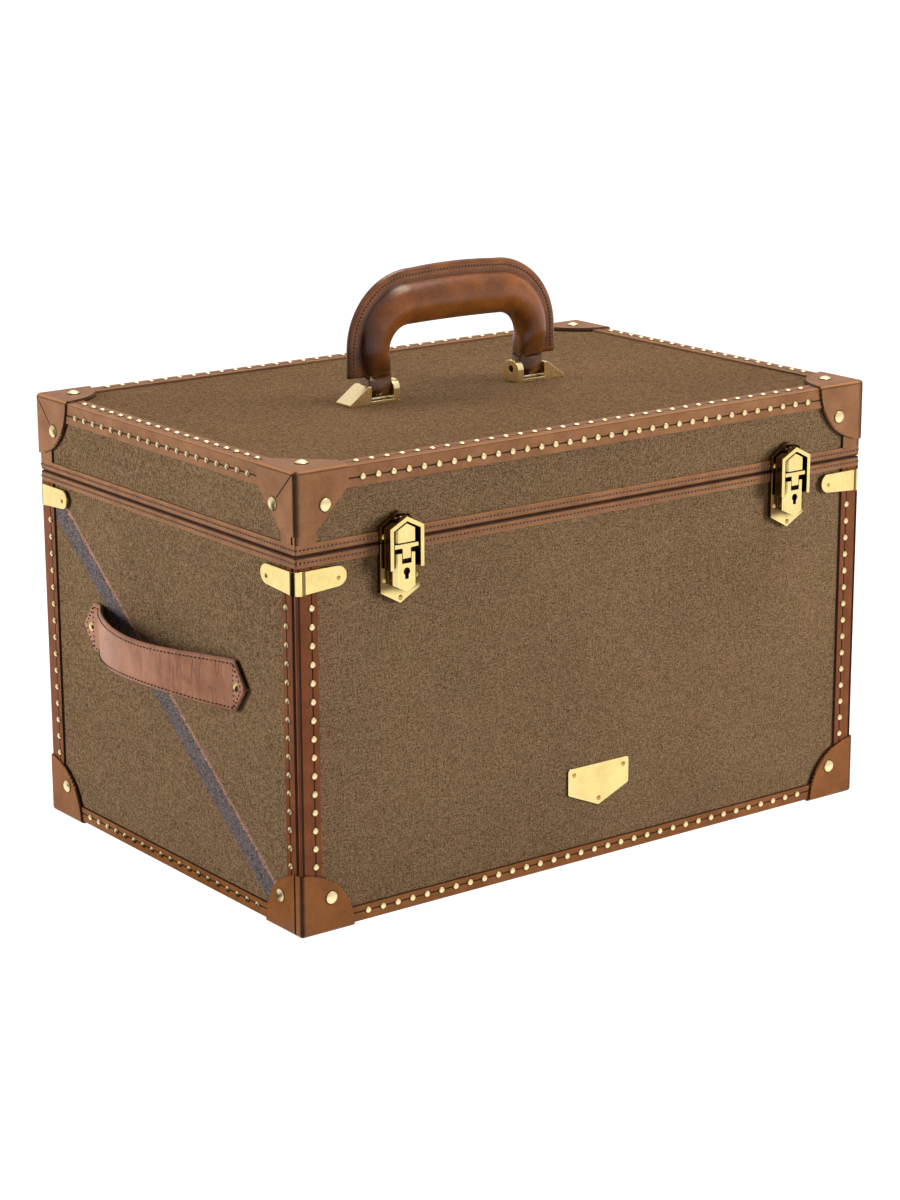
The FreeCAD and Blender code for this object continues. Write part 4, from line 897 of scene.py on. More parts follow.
# %% Edge strips
NAIL_LINE = (0.9 * MM, 0.3 * MM)
LAP_SEAM = (2.8 * MM, 1.0 * MM)
CAP_SEAM = (1.6 * MM, 0.8 * MM)
EDGE_CREASE = (1.7 * MM, 0.45 * MM)
LAP_IN = 4.2 * MM
CREASE_IN = 2.7 * MM
UPRIGHT_NAILS = 10.6 * MM
BOTTOM_NAILS = 6.6 * MM
LID_SIDE_NAILS = 8.2 * MM
LID_TOP_NAILS = 7.2 * MM
STRIP_EDGE = 0.3 * MM

uprights = skived("base_upright_bindings", STRIP_EDGE, Z)
press_pairs(uprights, X, UPRIGHT_NAILS, Y, NAIL_LINE)
press_pairs(uprights, Y, UPRIGHT_NAILS, X, NAIL_LINE)
press_line(uprights, Y, LAP_IN - CASE_HALF.y, X, *LAP_SEAM)
press_pairs(uprights, X, CREASE_IN, Y, EDGE_CREASE)
as_piece("base_upright_strips", uprights, "base", "leather", UPRIGHT_LEATHER, "base_upright_bindings")

bottoms = skived("base_bottom_bindings", STRIP_EDGE)
for facing in (X, Y):
    press_line(bottoms, Z, BOTTOM_NAILS, facing, *NAIL_LINE)
as_piece("base_bottom_strips", bottoms, "base", "leather", BASE_LEATHER, "base_bottom_bindings")

lid_strips = skived("lid_edge_bindings", STRIP_EDGE)
paint_top_edge_light(lid_strips)
for facing in (X, Y):
    press_line(lid_strips, Z, CASE_TOP - LID_SIDE_NAILS, facing, *NAIL_LINE)
for axis in (X, Y):
    press_pairs(lid_strips, axis, LID_TOP_NAILS, Z, NAIL_LINE)
press_line(lid_strips, Y, LAP_IN - CASE_HALF.y, X, *CAP_SEAM)
paint_fold_shade(lid_strips, FOLD_WIDE["lid"])
as_piece("lid_edge_strips", lid_strips, "lid", "leather", LIT_LID_LEATHER, "lid_edge_bindings")
print("strips: uprights, bottoms and lid edges")

# %% [markdown]
# ## Corner caps
# Each corner has a cap of thicker leather moulded over the strips and held by big rivets. Three of the
# lid's caps and all of the base's are round; the one at the lid's front left has slanted edges. The caps
# are copies too, with soft edges and painted shade on the fold beside the upright edge; the lid's caps also
# get the painted highlight and shade along the top edge. The base's caps have the same lapped seam as the
# strips. On the lid a cap's leather meets in a slanted seam, from the corner to the rivet.

# %% Caps
CAP_EDGE = 0.35 * MM
CAP_LAP_IN = 5.8 * MM
SLANT_END = 16 * MM
SLANT_WIDE = 0.9 * MM
SLANT_DEEP = 0.4 * MM
PART_LEATHER = {"base": BASE_LEATHER, "lid": LIT_LID_LEATHER}
CORNERS = [front + "_" + side for front in ("front", "back") for side in ("left", "right")]


def slanted_seam(cap):
    """Press a short slanted seam into the short side of a lid cap, from its top corner towards its rivet."""
    front = math.copysign(1, sum(vert.co.y for vert in cap.verts))
    corner = Vector((0, front * CASE_HALF.y, CASE_TOP))
    down = Vector((0, -front, -1)).normalized()
    across = Vector((0, -front, 1)).normalized()
    long = SLANT_END * math.sqrt(2)

    def cut(place, normal, inside):
        faces = [face for face in cap.faces if abs(face.normal.x) > 0.9 and inside(face.calc_center_median())]
        geometry = {part for face in faces for part in [face, *face.edges, *face.verts]}
        bmesh.ops.bisect_plane(cap, geom=list(geometry), dist=CUT_NEAR, plane_co=place, plane_no=normal)
        cap.normal_update()

    def aside(spot):
        return abs((spot - corner).dot(across))

    def above_end(vert):
        return (vert.co - corner).dot(down) < long - WELD

    cut(corner + down * long, down, lambda spot: True)
    for shift in GROOVE_CUTS:
        cut(corner + across * shift * SLANT_WIDE, across, lambda spot: (spot - corner).dot(down) < long)
    sink(cap, aside, above_end, X, SLANT_WIDE, SLANT_DEEP)


def cap_piece(part, corner):
    """One leather corner cap."""
    node = "%s_cap_%s" % (part, corner)
    cap = skived(node, CAP_EDGE)
    if part == "base":
        press_line(cap, Y, CAP_LAP_IN - CASE_HALF.y, X, *CAP_SEAM)
    else:
        paint_top_edge_light(cap)
        slanted_seam(cap)
    paint_fold_shade(cap, FOLD_WIDE[part])
    return as_piece(node.replace("cap", "leather_cap"), cap, part, "leather", PART_LEATHER[part], node)


caps = [cap_piece(part, corner) for part in PART_LEATHER for corner in CORNERS]
print("caps:", len(caps))

# %% [markdown]
# ## Stitches
# A stitch is a short bead that dives into the leather at both ends. Between it and the next sits a short dark
# bead that stands for the shade in the hole: painted shade. A painted dash would look flat from the side, so
# each stitch is lofted: rings of points along a line, skinned with faces. The same loft later makes the
# straps, the grip, the brackets and the ring rolls.

# %% Lofts and stitches
STITCH_STATIONS = ((-1.0, 0.1, -0.9), (-0.7, 0.75, 0.0), (0.0, 1.0, 0.35), (0.7, 0.75, 0.0), (1.0, 0.1, -0.9))
STITCH_SIDES = 6
STITCH_TURNS = [2 * math.pi * step / STITCH_SIDES for step in range(STITCH_SIDES)]


def loft(shape, rings):
    """Skin a row of rings of places with faces, and close both ends."""
    rings = [[shape.verts.new(place) for place in ring] for ring in rings]
    count = len(rings[0])
    for first, second in zip(rings, rings[1:]):
        for step in range(count):
            after = (step + 1) % count
            shape.faces.new((first[step], first[after], second[after], second[step]))
    shape.faces.new(list(reversed(rings[0])))
    shape.faces.new(rings[-1])


def add_stitch(shape, middle, along, out, long, thick):
    """One stitch: a bead along a line that dives into the leather at both ends."""
    across = along.cross(out).normalized()
    rings = []
    for way, swell, rise in STITCH_STATIONS:
        centre = middle + along * (way * long / 2) + out * (rise * thick / 2)
        rings.append([
            centre + (across * math.cos(turn) + out * math.sin(turn)) * (swell * thick / 2)
            for turn in STITCH_TURNS
        ])
    loft(shape, rings)


def stitch_row(shape, spots, pitch, long, thick, slant=0.0, start=0.5):
    """Stitches at an even pitch along a row of (place, outward direction) spots."""
    gone = pitch * start
    count = 0
    for (here, out), (there, _) in zip(spots, spots[1:]):
        span = (there - here).length
        along = (there - here).normalized()
        while gone < span:
            leaning = Matrix.Rotation(slant, 3, out) @ along
            add_stitch(shape, here + along * gone, leaning, out, long, thick)
            gone += pitch
            count += 1
        gone -= span
    return count


def sew(name, body, slot, rows, stitch, hole_shade):
    """Rows of pale stitches, and dark beads between them as the painted shade of the holes. Gives how many
    there are.
    """
    count = 0
    for label, finish, sewing in (("stitches", PALE_THREAD, stitch), ("holes", THREAD, hole_shade)):
        seam = bmesh.new()
        count += sum(stitch_row(seam, spots, **sewing) for spots in rows)
        as_piece(name + "_" + label, seam, body, slot, finish)
    return count


print("helpers ready: loft, stitch_row, sew")

# %% [markdown]
# ## Stitched rims
# A narrow leather band is folded over the rim of the base and another over the rim of the lid. Both roll
# over the edge where they meet, so that the seam between them is a dark line, deepened with painted shade on
# the rolled faces, and both have a row of stitches along the middle. The bands are copies with a wide bevel
# along the seam, and the stitches follow the case's rounded outline.

# %% Rims and their stitches
SEAM_HEIGHT = 207 * MM
SEAM_GAP = 0.4 * MM
RIM_WIDE = 5.8 * MM
RIM_INSET = 1.2 * MM
RIM_SIDES = {"base": -1, "lid": 1}
RIM_EDGES = {part: SEAM_HEIGHT + side * SEAM_GAP / 2 for part, side in RIM_SIDES.items()}
ROLLED = 1.5 * MM
CORNER_ROUND = 1.0 * MM
CORNER_STEPS = 4
ON_LINE = 0.05 * MM
STITCH_LEVEL = 0.56
RIM_STITCH = {"pitch": 2.5 * MM, "long": 1.9 * MM, "thick": 1.1 * MM, "slant": 0.5}
RIM_HOLE_SHADE = {"pitch": 2.5 * MM, "long": 1.0 * MM, "thick": 0.8 * MM, "slant": 0.9, "start": 1.0}


def on_outline(spot):
    """Whether a point is on the outside of the rim, not on its inside."""
    reach = (CASE_HALF.x - RIM_INSET - abs(spot.x), CASE_HALF.y - RIM_INSET - abs(spot.y))
    return min(reach) < ON_LINE or max(reach) < CORNER_ROUND


def rim_band(part, seam_edge):
    """One rim band, with a rolled edge along the seam, painted dark as shade deep in the seam."""
    node = part + "_rim_binding"
    band = copy_of(node, True)
    rolled = [
        edge for edge in sharp_edges(band)
        if all(abs(vert.co.z - seam_edge) < WELD and on_outline(vert.co) for vert in edge.verts)
    ]
    round_edges(band, rolled, ROLLED, 6)
    edge = mark_layer(band, "edge")

    def seam_shade(face):
        is_deep = abs(face.calc_center_median().z - seam_edge) < 0.7 * ROLLED
        return float(is_deep and face[edge] > 0)

    # The rolled faces deep in the seam are painted dark as shade.
    mark_faces(band, "groove", seam_shade)
    soften(band, STRIP_EDGE)
    as_piece(part + "_rim_band", band, part, "leather", LIT_LID_LEATHER, node)


def outline_spots(inset, height):
    """Spots round the case's rounded outline at a height, with their outward directions."""
    spots = []
    hub_x, hub_y = (half - inset - CORNER_ROUND for half in CASE_HALF.xy)
    for quarter in range(4):
        middle = math.radians(90 * quarter + 45)
        side_x, side_y = (math.copysign(1, part) for part in (math.cos(middle), math.sin(middle)))
        hub = Vector((side_x * hub_x, side_y * hub_y, height))
        for step in range(CORNER_STEPS + 1):
            turn = math.radians(90 * (quarter + step / CORNER_STEPS))
            out = Vector((math.cos(turn), math.sin(turn), 0))
            spots.append((hub + out * CORNER_ROUND, out))
    return spots + spots[:1]


for part, edge in RIM_EDGES.items():
    rim_band(part, edge)
for part, edge in RIM_EDGES.items():
    row = outline_spots(RIM_INSET, edge + RIM_SIDES[part] * RIM_WIDE * STITCH_LEVEL)
    print(part, "rim stitches:", sew(part + "_rim", part, "leather", [row], RIM_STITCH, RIM_HOLE_SHADE))

# %% [markdown]
# ## Side straps
# A leather strap on each short side is riveted down at its two pointed ends and stands away from the case
# between them. It is a flat strip bent in one direction, so a grid follows the bend: one way along the
# strap, the other across it. Fine creases run across where the leather has been bent most often.

# %% The strap's shape
from mathutils import noise

STRAP_HALF = 83.5 * MM
STRAP_WIDE = 29 * MM
STRAP_THICK = 2.8 * MM
STRAP_POINT = 10 * MM
STRAP_BOW = 18.6 * MM
STRAP_SPAN = 146 * MM
STRAP_BACK = 66 * MM
STRAP_FRONT = 73 * MM
STRAP_LEAN = 0.8
STRAP_SOFT = 2.0 * MM
STRAP_CLEAR = 0.3 * MM
STRAP_WAIST = 24.5 * MM
STRAP_LEVEL = 125.5 * MM
CLOTH_SIDE = 197.6 * MM


def soft_most(first, second, soft):
    """The larger of two numbers, blended where they are close."""
    gap = first - second
    return (first + second + math.sqrt(gap * gap + soft * soft)) / 2


def strap_rise(along):
    """How far the strap's back stands from the case: an arch that rises fast at its back end."""
    share = min(max((STRAP_BACK - along) / (STRAP_BACK + STRAP_FRONT), 0.0), 1.0)
    arch = STRAP_BOW * math.sin(math.pi * share ** STRAP_LEAN)
    return soft_most(arch, 0.0, STRAP_SOFT) - STRAP_SOFT / 2 + STRAP_CLEAR


def strap_half_wide(along):
    """Half the strap's width at a place along it: a slight waist, and pointed ends."""
    left = STRAP_HALF - abs(along)
    waist = max(0.0, math.cos(math.pi * along / STRAP_SPAN)) ** 2
    wide = STRAP_WIDE + (STRAP_WAIST - STRAP_WIDE) * waist
    return wide / 2 * min(1.0, 0.06 + 0.94 * left / STRAP_POINT)


def strap_creases(along, across, side):
    """The height of the fine creases across the strap."""
    bent = 0.2 + 0.8 * smooth_step((-along + 16 * MM) / (46 * MM))
    flat_end = smooth_step((STRAP_HALF - STRAP_POINT - abs(along)) / (6 * MM))
    fine = noise.noise(Vector((along / (1.7 * MM), across / (14 * MM), 7 * side)))
    broad = noise.noise(Vector((along / (5 * MM), across / (26 * MM), 3 * side)))
    return (0.34 * MM * -abs(fine) + 0.3 * MM * broad) * bent * flat_end


def strap_spot(side, along, across, out):
    """A place on the strap: along and across it, and out from its back."""
    slope = (strap_rise(along + MM) - strap_rise(along - MM)) / (2 * MM)
    square = 1 / math.hypot(1, slope)
    aside = CLOTH_SIDE + strap_rise(along) + out * square
    return Vector((side * aside, along - out * slope * square, STRAP_LEVEL + across))


print("strap stands", round(strap_rise(0.0) / MM, 1), "mm from the case in its middle")

# %% The straps
STRAP_STEPS = 168
STRAP_ACROSS = 20
# The faces of the strap's cut sides, by their place round a ring: painted dark as shade.
STRAP_SHADED_SIDES = (STRAP_ACROSS, STRAP_ACROSS + 1, STRAP_ACROSS + 4, STRAP_ACROSS + 5)
STRAP_ROUND = 0.9 * MM
STRAP_DOME = 0.5 * MM


def strap_ring(side, along):
    """One ring of places round the strap's section, with its share of rounded edges."""
    half = strap_half_wide(along)
    ring = []
    for step in range(STRAP_ACROSS + 1):
        share = 2 * step / STRAP_ACROSS - 1
        across = share * half
        fall = max(0.0, abs(across) - (half - STRAP_ROUND)) / STRAP_ROUND
        top = STRAP_THICK + STRAP_DOME * (1 - share * share) - STRAP_ROUND * fall * fall
        ring.append((across, top + strap_creases(along, across, side)))
    back = ((0.97, STRAP_ROUND), (0.9, 0.0), (0.0, 0.0), (-0.9, 0.0), (-0.97, STRAP_ROUND))
    return ring + [(half * share, top) for share, top in back]


def strap_piece(name, node, side):
    """One side strap."""
    shape = bmesh.new()
    layer = mark_layer(shape, "groove")
    rings = []
    for step in range(STRAP_STEPS + 1):
        along = STRAP_HALF * (2 * step / STRAP_STEPS - 1)
        ring = [strap_spot(side, along, *spot) for spot in strap_ring(side, along)]
        rings.append(ring if side < 0 else ring[::-1])
    loft(shape, rings)
    shape.normal_update()
    count = len(rings[0])
    for number, face in enumerate(shape.faces):
        spot = number if side < 0 else count - 2 - number
        # The cut sides are painted dark as shade.
        face[layer] = float(spot % count in STRAP_SHADED_SIDES)
    bmesh.ops.recalc_face_normals(shape, faces=shape.faces)
    as_piece(name, shape, "base", "leather", STRAP_LEATHER, node)


print("helper ready: strap_piece")

# %% The straps' stitches
STRAP_STITCH = {"pitch": 2.8 * MM, "long": 1.5 * MM, "thick": 0.85 * MM, "slant": 0.1}
STITCH_IN = 2.3 * MM
STITCH_OUT = 0.35 * MM
STITCH_TIP = 0.12
SHOULDER_GAP = 0.6 * MM
TIP_GAP = 1.2 * MM


def strap_line(side, start, stop, steps=60):
    """Spots along a line on the strap. Each end is a place along it and a share of its half width."""
    spots = []
    for step in range(steps + 1):
        share = step / steps
        along, part = (a + (b - a) * share for a, b in zip(start, stop))
        across = part * (strap_half_wide(min(abs(along), STRAP_HALF - STRAP_POINT)) - STITCH_IN)
        top = STRAP_THICK + STITCH_OUT
        spot = strap_spot(side, along, across, top)
        out = spot - strap_spot(side, along, across, top - MM)
        spots.append((spot, out.normalized()))
    return spots


def strap_stitches(name, side):
    """The stitched border of a strap, and the line across each pointed end."""
    row = bmesh.new()
    shoulder = STRAP_HALF - STRAP_POINT - SHOULDER_GAP
    tip = STRAP_HALF - STITCH_IN - TIP_GAP
    lines = [((end * shoulder, -1.0), (end * shoulder, 1.0)) for end in (-1, 1)]
    for level in (-1.0, 1.0):
        lines.append(((-shoulder, level), (shoulder, level)))
        lines += [((end * shoulder, level), (end * tip, level * STITCH_TIP)) for end in (-1, 1)]
    count = sum(stitch_row(row, strap_line(side, *line), **STRAP_STITCH) for line in lines)
    as_piece(name, row, "base", "leather", THREAD)
    return count


for label, side in (("left", -1), ("right", 1)):
    strap_piece(label + "_strap", label + "_strap_handle", side)
    print(label, "strap with", strap_stitches(label + "_strap_stitches", side), "stitches")

# %% [markdown]
# ## The top handle
# The grip is a padded leather tube bent into an arch, sewn shut along a thin fin on its outside. It is
# lofted: at each station an inner and an outer point of the arch set the section's middle and height, and
# the section is a tube that runs smoothly into the fin. Two tabs of the same leather hold it in its brass
# brackets, and they are cut from the imported grip, so that their holes stay on the pins. The legs, the tabs
# and the foot of the fin are painted dark as shade, and the fin's outer edge is darkened.

# %% The grip's arch
CLOTH_TOP = 249.6 * MM
GRIP_FOOT = 16.1 * MM
FOOT_LAP = 0.8 * MM
GRIP_OUTER = 66.5 * MM
GRIP_INNER = 46.5 * MM
GRIP_TOP = 66.5 * MM
GRIP_OPENING = 42 * MM
OUTER_BEND = 36 * MM
INNER_BEND = 14 * MM
CROWN = 1.2 * MM
INNER_CROWN = 0.4


def arch_stations(leg_steps=10, bend_steps=26, top_steps=24):
    """The inner and outer points of the arch from one foot to the other, as (outer, inner) pairs in XZ."""
    outer_hub = (GRIP_OUTER - OUTER_BEND, GRIP_TOP - OUTER_BEND)
    inner_hub = (GRIP_INNER - INNER_BEND, GRIP_OPENING - INNER_BEND)
    foot = GRIP_FOOT - FOOT_LAP
    half = []
    for step in range(leg_steps):
        share = step / leg_steps
        half.append(tuple(
            (aside, foot + share * (hub[1] - GRIP_FOOT + FOOT_LAP))
            for aside, hub in ((GRIP_OUTER, outer_hub), (GRIP_INNER, inner_hub))
        ))
    for step in range(bend_steps):
        turn = math.pi / 2 * step / bend_steps
        half.append(tuple(
            (hub[0] + bend * math.cos(turn), hub[1] + bend * math.sin(turn))
            for hub, bend in ((outer_hub, OUTER_BEND), (inner_hub, INNER_BEND))
        ))
    for step in range(top_steps // 2 + 1):
        share = 1 - 2 * step / top_steps
        lift = CROWN * (1 - share * share)
        outer = (outer_hub[0] * share, GRIP_TOP + lift)
        half.append((outer, (inner_hub[0] * share, GRIP_OPENING + lift * INNER_CROWN)))
    mirrored = [tuple((-x, z) for x, z in pair) for pair in half[-2::-1]]
    return half + mirrored


def grip_frames():
    """For each station: the section's middle, its outward direction, half its height and the way so far."""
    frames = []
    for outer, inner in arch_stations():
        top = Vector((outer[0], 0, CLOTH_TOP + outer[1]))
        bottom = Vector((inner[0], 0, CLOTH_TOP + inner[1]))
        middle = (top + bottom) / 2
        gone = frames[-1][3] + (middle - frames[-1][0]).length if frames else 0.0
        frames.append((middle, (top - bottom).normalized(), (top - bottom).length / 2, gone))
    return frames


frames = grip_frames()
print("grip:", len(frames), "stations along", round(frames[-1][3], 3), "m")

# %% The grip's section
FIN_RISE = 7.6 * MM
FIN_HALF = 1.9 * MM
FIN_SOFT = 0.9 * MM


def grip_half_width(level, half_tall, half_thick, fin, square):
    """Half the width of the grip's section at a level above its middle."""
    tube = half_thick * max(0.0, 1 - abs(level / half_tall) ** square) ** (1 / square)
    if level <= 0:
        return tube
    left = half_tall + fin - level
    blade = FIN_HALF * math.sqrt(max(0.0, 1 - max(0.0, 1 - left / FIN_HALF) ** 2))
    return soft_most(tube, blade, FIN_SOFT) if left > FIN_HALF else max(tube, blade)


def grip_section(half_tall, half_thick, fin, square, tube_steps=22, fin_steps=8):
    """The section's outline as (level, side) pairs, down one side and up the other."""
    levels = [half_tall + fin * (1 - (step / fin_steps) ** 1.6) for step in range(1, fin_steps)]
    levels += [half_tall * math.cos(math.pi * (step + 0.35) / tube_steps) for step in range(tube_steps)]
    right = [(level, grip_half_width(level, half_tall, half_thick, fin, square)) for level in levels]
    left = [(level, -width) for level, width in reversed(right)]
    return [(half_tall + fin, 0.0)] + right + [(-half_tall, 0.0)] + left


print("helper ready: grip_section")

# %% The grip and its tabs
FOOT_LONG = 15 * MM
FOOT_IN = 4.2 * MM
FOOT_HALF_THICK = 5.5 * MM
FOOT_SQUARE = 4.5
GRIP_SQUARE_LOSS = 2.5
GRIP_HALF_THICK = 9.5 * MM
LEG_THIN = 0.9
LEG_SWELL = 40 * MM
# Painted shade on the grip: at the foot of the fin, on the legs fading up from the feet and on the tabs. The
# fin's outer edge is darkened too.
GRIP_PAINTED_SHADES = {0: 0.85, 7: 0.5, 8: 0.75, 9: 0.45}
LEG_PAINTED_SHADE = 0.65
LEG_FADE = 44 * MM
TAB_UNDER = 0.02 * MM


def grip_ring(middle, out, half_tall, from_end):
    """One ring of places round the grip, flatter towards its feet."""
    full = smooth_step(from_end / FOOT_LONG)
    leg = LEG_THIN + (1 - LEG_THIN) * smooth_step((from_end - FOOT_LONG) / LEG_SWELL)
    half_thick = FOOT_HALF_THICK + (GRIP_HALF_THICK * leg - FOOT_HALF_THICK) * full
    lost = FOOT_IN * (1 - full)
    square = FOOT_SQUARE - GRIP_SQUARE_LOSS * full
    section = grip_section(half_tall - lost / 2, half_thick, FIN_RISE + lost, square)
    return [middle + out * (level - lost / 2) + Vector((0, side, 0)) for level, side in section]


def grip_piece(frames):
    """The padded grip with its fin."""
    shape = bmesh.new()
    groove = mark_layer(shape, "groove")
    whole = frames[-1][3]
    rings = [grip_ring(*place, min(gone, whole - gone)) for *place, gone in frames]
    loft(shape, rings)
    bmesh.ops.recalc_face_normals(shape, faces=shape.faces)
    shape.normal_update()
    count = len(rings[0])
    for number, face in enumerate(shape.faces):
        spot = min(number % count, count - 1 - number % count)
        above = face.calc_center_median().z - CLOTH_TOP - GRIP_FOOT
        face[groove] = max(GRIP_PAINTED_SHADES.get(spot, 0.0), LEG_PAINTED_SHADE * (1 - smooth_step(above / LEG_FADE)))
    return shape


def tab_copies():
    """The two tabs under the grip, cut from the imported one."""
    tabs = copy_of("handle_grip")
    slice_across(tabs, Z, CLOTH_TOP + GRIP_FOOT - TAB_UNDER, False)
    bmesh.ops.holes_fill(tabs, edges=[edge for edge in tabs.edges if edge.is_boundary], sides=0)
    # The tabs get the legs' painted shade all over.
    mark_faces(tabs, "groove", lambda face: LEG_PAINTED_SHADE)
    return tabs


as_piece("grip", grip_piece(frames), "handle", "grip_leather", GRIP_LEATHER, "handle_grip")
as_piece("grip_tabs", tab_copies(), "handle", "grip_leather", GRIP_LEATHER)
print("grip and two tabs")

# %% The grip's stitches
GRIP_STITCH = {"pitch": 2.2 * MM, "long": 1.3 * MM, "thick": 0.9 * MM, "slant": 0.3}
GRIP_HOLE_SHADE = {"pitch": 2.2 * MM, "long": 1.3 * MM, "thick": 1.15 * MM, "slant": 0.7, "start": 1.0}
FIN_LEVEL = 0.52

rows = []
for side in (-1, 1):
    aside = Vector((0, side, 0))
    rows.append([
        (middle + out * (half_tall + FIN_LEVEL * FIN_RISE) + aside * FIN_HALF, aside)
        for middle, out, half_tall, _ in frames[1:-1]
    ])
print("grip stitches:", sew("grip", "handle", "grip_leather", rows, GRIP_STITCH, GRIP_HOLE_SHADE))

# %% [markdown]
# ## Brass fittings
# The locks, brackets, hinges and the nameplate are cast or bent brass. Their shapes are right in the frame,
# so copies with small bevels are enough: on polished metal a bevel is what draws the bright outline. Nails
# and cap rivets are domes whose rims are painted dark as shade where they turn down to the leather, so the
# rims of their copies are marked as grooves. Small rivets and pins stay as they are and only get a finish.

# %% Brass pieces
METAL_EDGE = 0.28 * MM
RIM_TILT, RIM_FADE = 0.52, 0.35
BRASS_PIECES = {
    "base": ("nameplate", "base_hinge_leaves"),
    "lid": ("left_handle_bracket", "right_handle_bracket", "lid_hinge_leaves"),
}


def shade_ringed_domes(node):
    """A copy of a node of domes, with rims painted dark as shade where their faces turn down to the leather.
    """
    domes = copy_of(node)
    domes.normal_update()
    layer = domes.verts.layers.float.new("groove")
    for vert in domes.verts:
        out = min((X, Y, Z), key=lambda axis: inset_of(vert.co, axis))
        # The dome's rim is painted dark as shade.
        vert[layer] = 1 - smooth_step((abs(vert.normal[out]) - RIM_TILT) / RIM_FADE)
    return domes


for body, nodes in BRASS_PIECES.items():
    for node in nodes:
        metal = BRIGHT_BRASS if "handle" in node else BRASS
        as_piece(node + "_brass", soften(copy_of(node), METAL_EDGE), body, "brass", metal, node)
for body in BRASS_PIECES:
    for node in (body + "_nails", body + "_cap_rivets"):
        as_piece(node + "_brass", shade_ringed_domes(node), body, "brass", LIT_NAIL_BRASS, node)
print("brass pieces: nameplate, hinges, handle brackets, nails and cap rivets")

# %% [markdown]
# ## The locks
# Each lock is four pieces: a case on the base, a keeper on the lid, the hasp that swings over both, and the
# thumb slide. Their hollows are dark, partly as tarnish that stays where no cloth rubs, partly as painted
# shade. A painted mask would have to be drawn by hand, so rays find the hollows instead: from each small face
# a fan of rays goes out, and the share that soon meets the lock again is the face's mark. Side walls, the
# pivot and the plates behind the raised parts are marked by their place, as painted shade. The marks go to
# the vertices, so that they fade.

# %% Rays into hollows
from mathutils.bvhtree import BVHTree

LOCK_CELL = 1.2 * MM
RAY_COUNT = 40
RAY_REACH = 14 * MM
RAY_START = 0.05 * MM
HOLLOW_FROM, HOLLOW_RISE = 0.16, 0.36


def cut_fine(shape):
    """Cut a mesh into small cells, so that marks can change along its faces."""
    for axis in (X, Y, Z):
        low = min(vert.co[axis] for vert in shape.verts)
        high = max(vert.co[axis] for vert in shape.verts)
        for step in range(1, math.ceil((high - low) / LOCK_CELL)):
            slice_across(shape, axis, low + step * LOCK_CELL)
    shape.normal_update()
    return shape


def ray_fan():
    """Evenly spread directions over a whole ball."""
    golden = math.pi * (3 - math.sqrt(5))
    fan = []
    for step in range(2 * RAY_COUNT):
        height = 1 - (step + 0.5) / RAY_COUNT
        ring = math.sqrt(1 - height * height)
        fan.append(Vector((ring * math.cos(golden * step), ring * math.sin(golden * step), height)))
    return fan


def whole_lock(shapes):
    """A tree of all the faces of a lock, for rays to meet."""
    places, faces = [], []
    for shape in shapes:
        first = len(places)
        shape.verts.index_update()
        places += [vert.co.copy() for vert in shape.verts]
        faces += [[first + vert.index for vert in face.verts] for face in shape.faces]
    return BVHTree.FromPolygons(places, faces)


def hollow_of(face, lock, fan):
    """How hollow the place of a face is, by the share of its rays that soon meet the lock again."""
    start = face.calc_center_median() + face.normal * RAY_START
    seen = [way for way in fan if way.dot(face.normal) > 0.1]
    met = sum(lock.ray_cast(start, way, RAY_REACH)[0] is not None for way in seen)
    return smooth_step((met / max(1, len(seen)) - HOLLOW_FROM) / HOLLOW_RISE)


print("helpers ready:", len(ray_fan()), "rays in a fan")

# %% Locks
HASP_PIVOT = Vector((0, -135.9 * MM, 219.8 * MM))
PIVOT_ROUND = 1.8 * MM
WALL_PAINTED_SHADE = 0.85
WALL_BEHIND = 0.4 * MM
PLATE_BEHIND = 3 * MM
PLATE_FOOT = 5.5 * MM
PLATE_FADE = 4 * MM


def mark_hollows_and_shade(shape, lock, low):
    """Mark hollows as tarnish and painted shade, and side walls, the pivot and the plates behind a lock's
    raised parts as shade.
    """
    fan = ray_fan()
    front = min(vert.co.y for vert in shape.verts)
    marks = {}
    for face in shape.faces:
        middle = face.calc_center_median()
        # Walls, the pivot and the plates behind the raised parts are painted dark as shade.
        is_wall = abs(face.normal.y) < 0.5 and middle.y > front + WALL_BEHIND
        at_pivot = (middle - HASP_PIVOT).yz.length < PIVOT_ROUND
        is_shaded_plate = face.normal.y < -0.5 and middle.y > front + PLATE_BEHIND
        plate = is_shaded_plate * smooth_step((middle.z - low - PLATE_FOOT) / PLATE_FADE)
        marks[face] = max(hollow_of(face, lock, fan), plate, WALL_PAINTED_SHADE * is_wall, float(at_pivot))
    layer = shape.verts.layers.float.new("groove")
    for vert in shape.verts:
        around = [marks[face] for face in vert.link_faces]
        vert[layer] = sum(around) / max(1, len(around))


for side in ("left", "right"):
    bodies = {
        "_lock_case": "base", "_keeper": "lid", "_hasp": side + "_hasp", "_thumb_slide": side + "_slide",
    }
    shapes = {part: cut_fine(soften(copy_of(side + part), METAL_EDGE)) for part in bodies}
    lock = whole_lock(shapes.values())
    low = min(vert.co.z for vert in shapes["_lock_case"].verts)
    for part, shape in shapes.items():
        mark_hollows_and_shade(shape, lock, low)
        as_piece(side + part + "_brass", shape, bodies[part], "brass", BRASS, side + part)
    print(side, "lock:", len(shapes), "pieces")

# %% [markdown]
# ## Corner brackets
# Each upright corner of the base has a bracket bent from brass strip: two arms with round ends and a wide
# bend, which shows as dark and bright bands on polished metal; two dark bands along it are painted
# reflections. It is lofted along its bend. At each station along the path the strip has a top, a bottom, an
# outside and an inside.

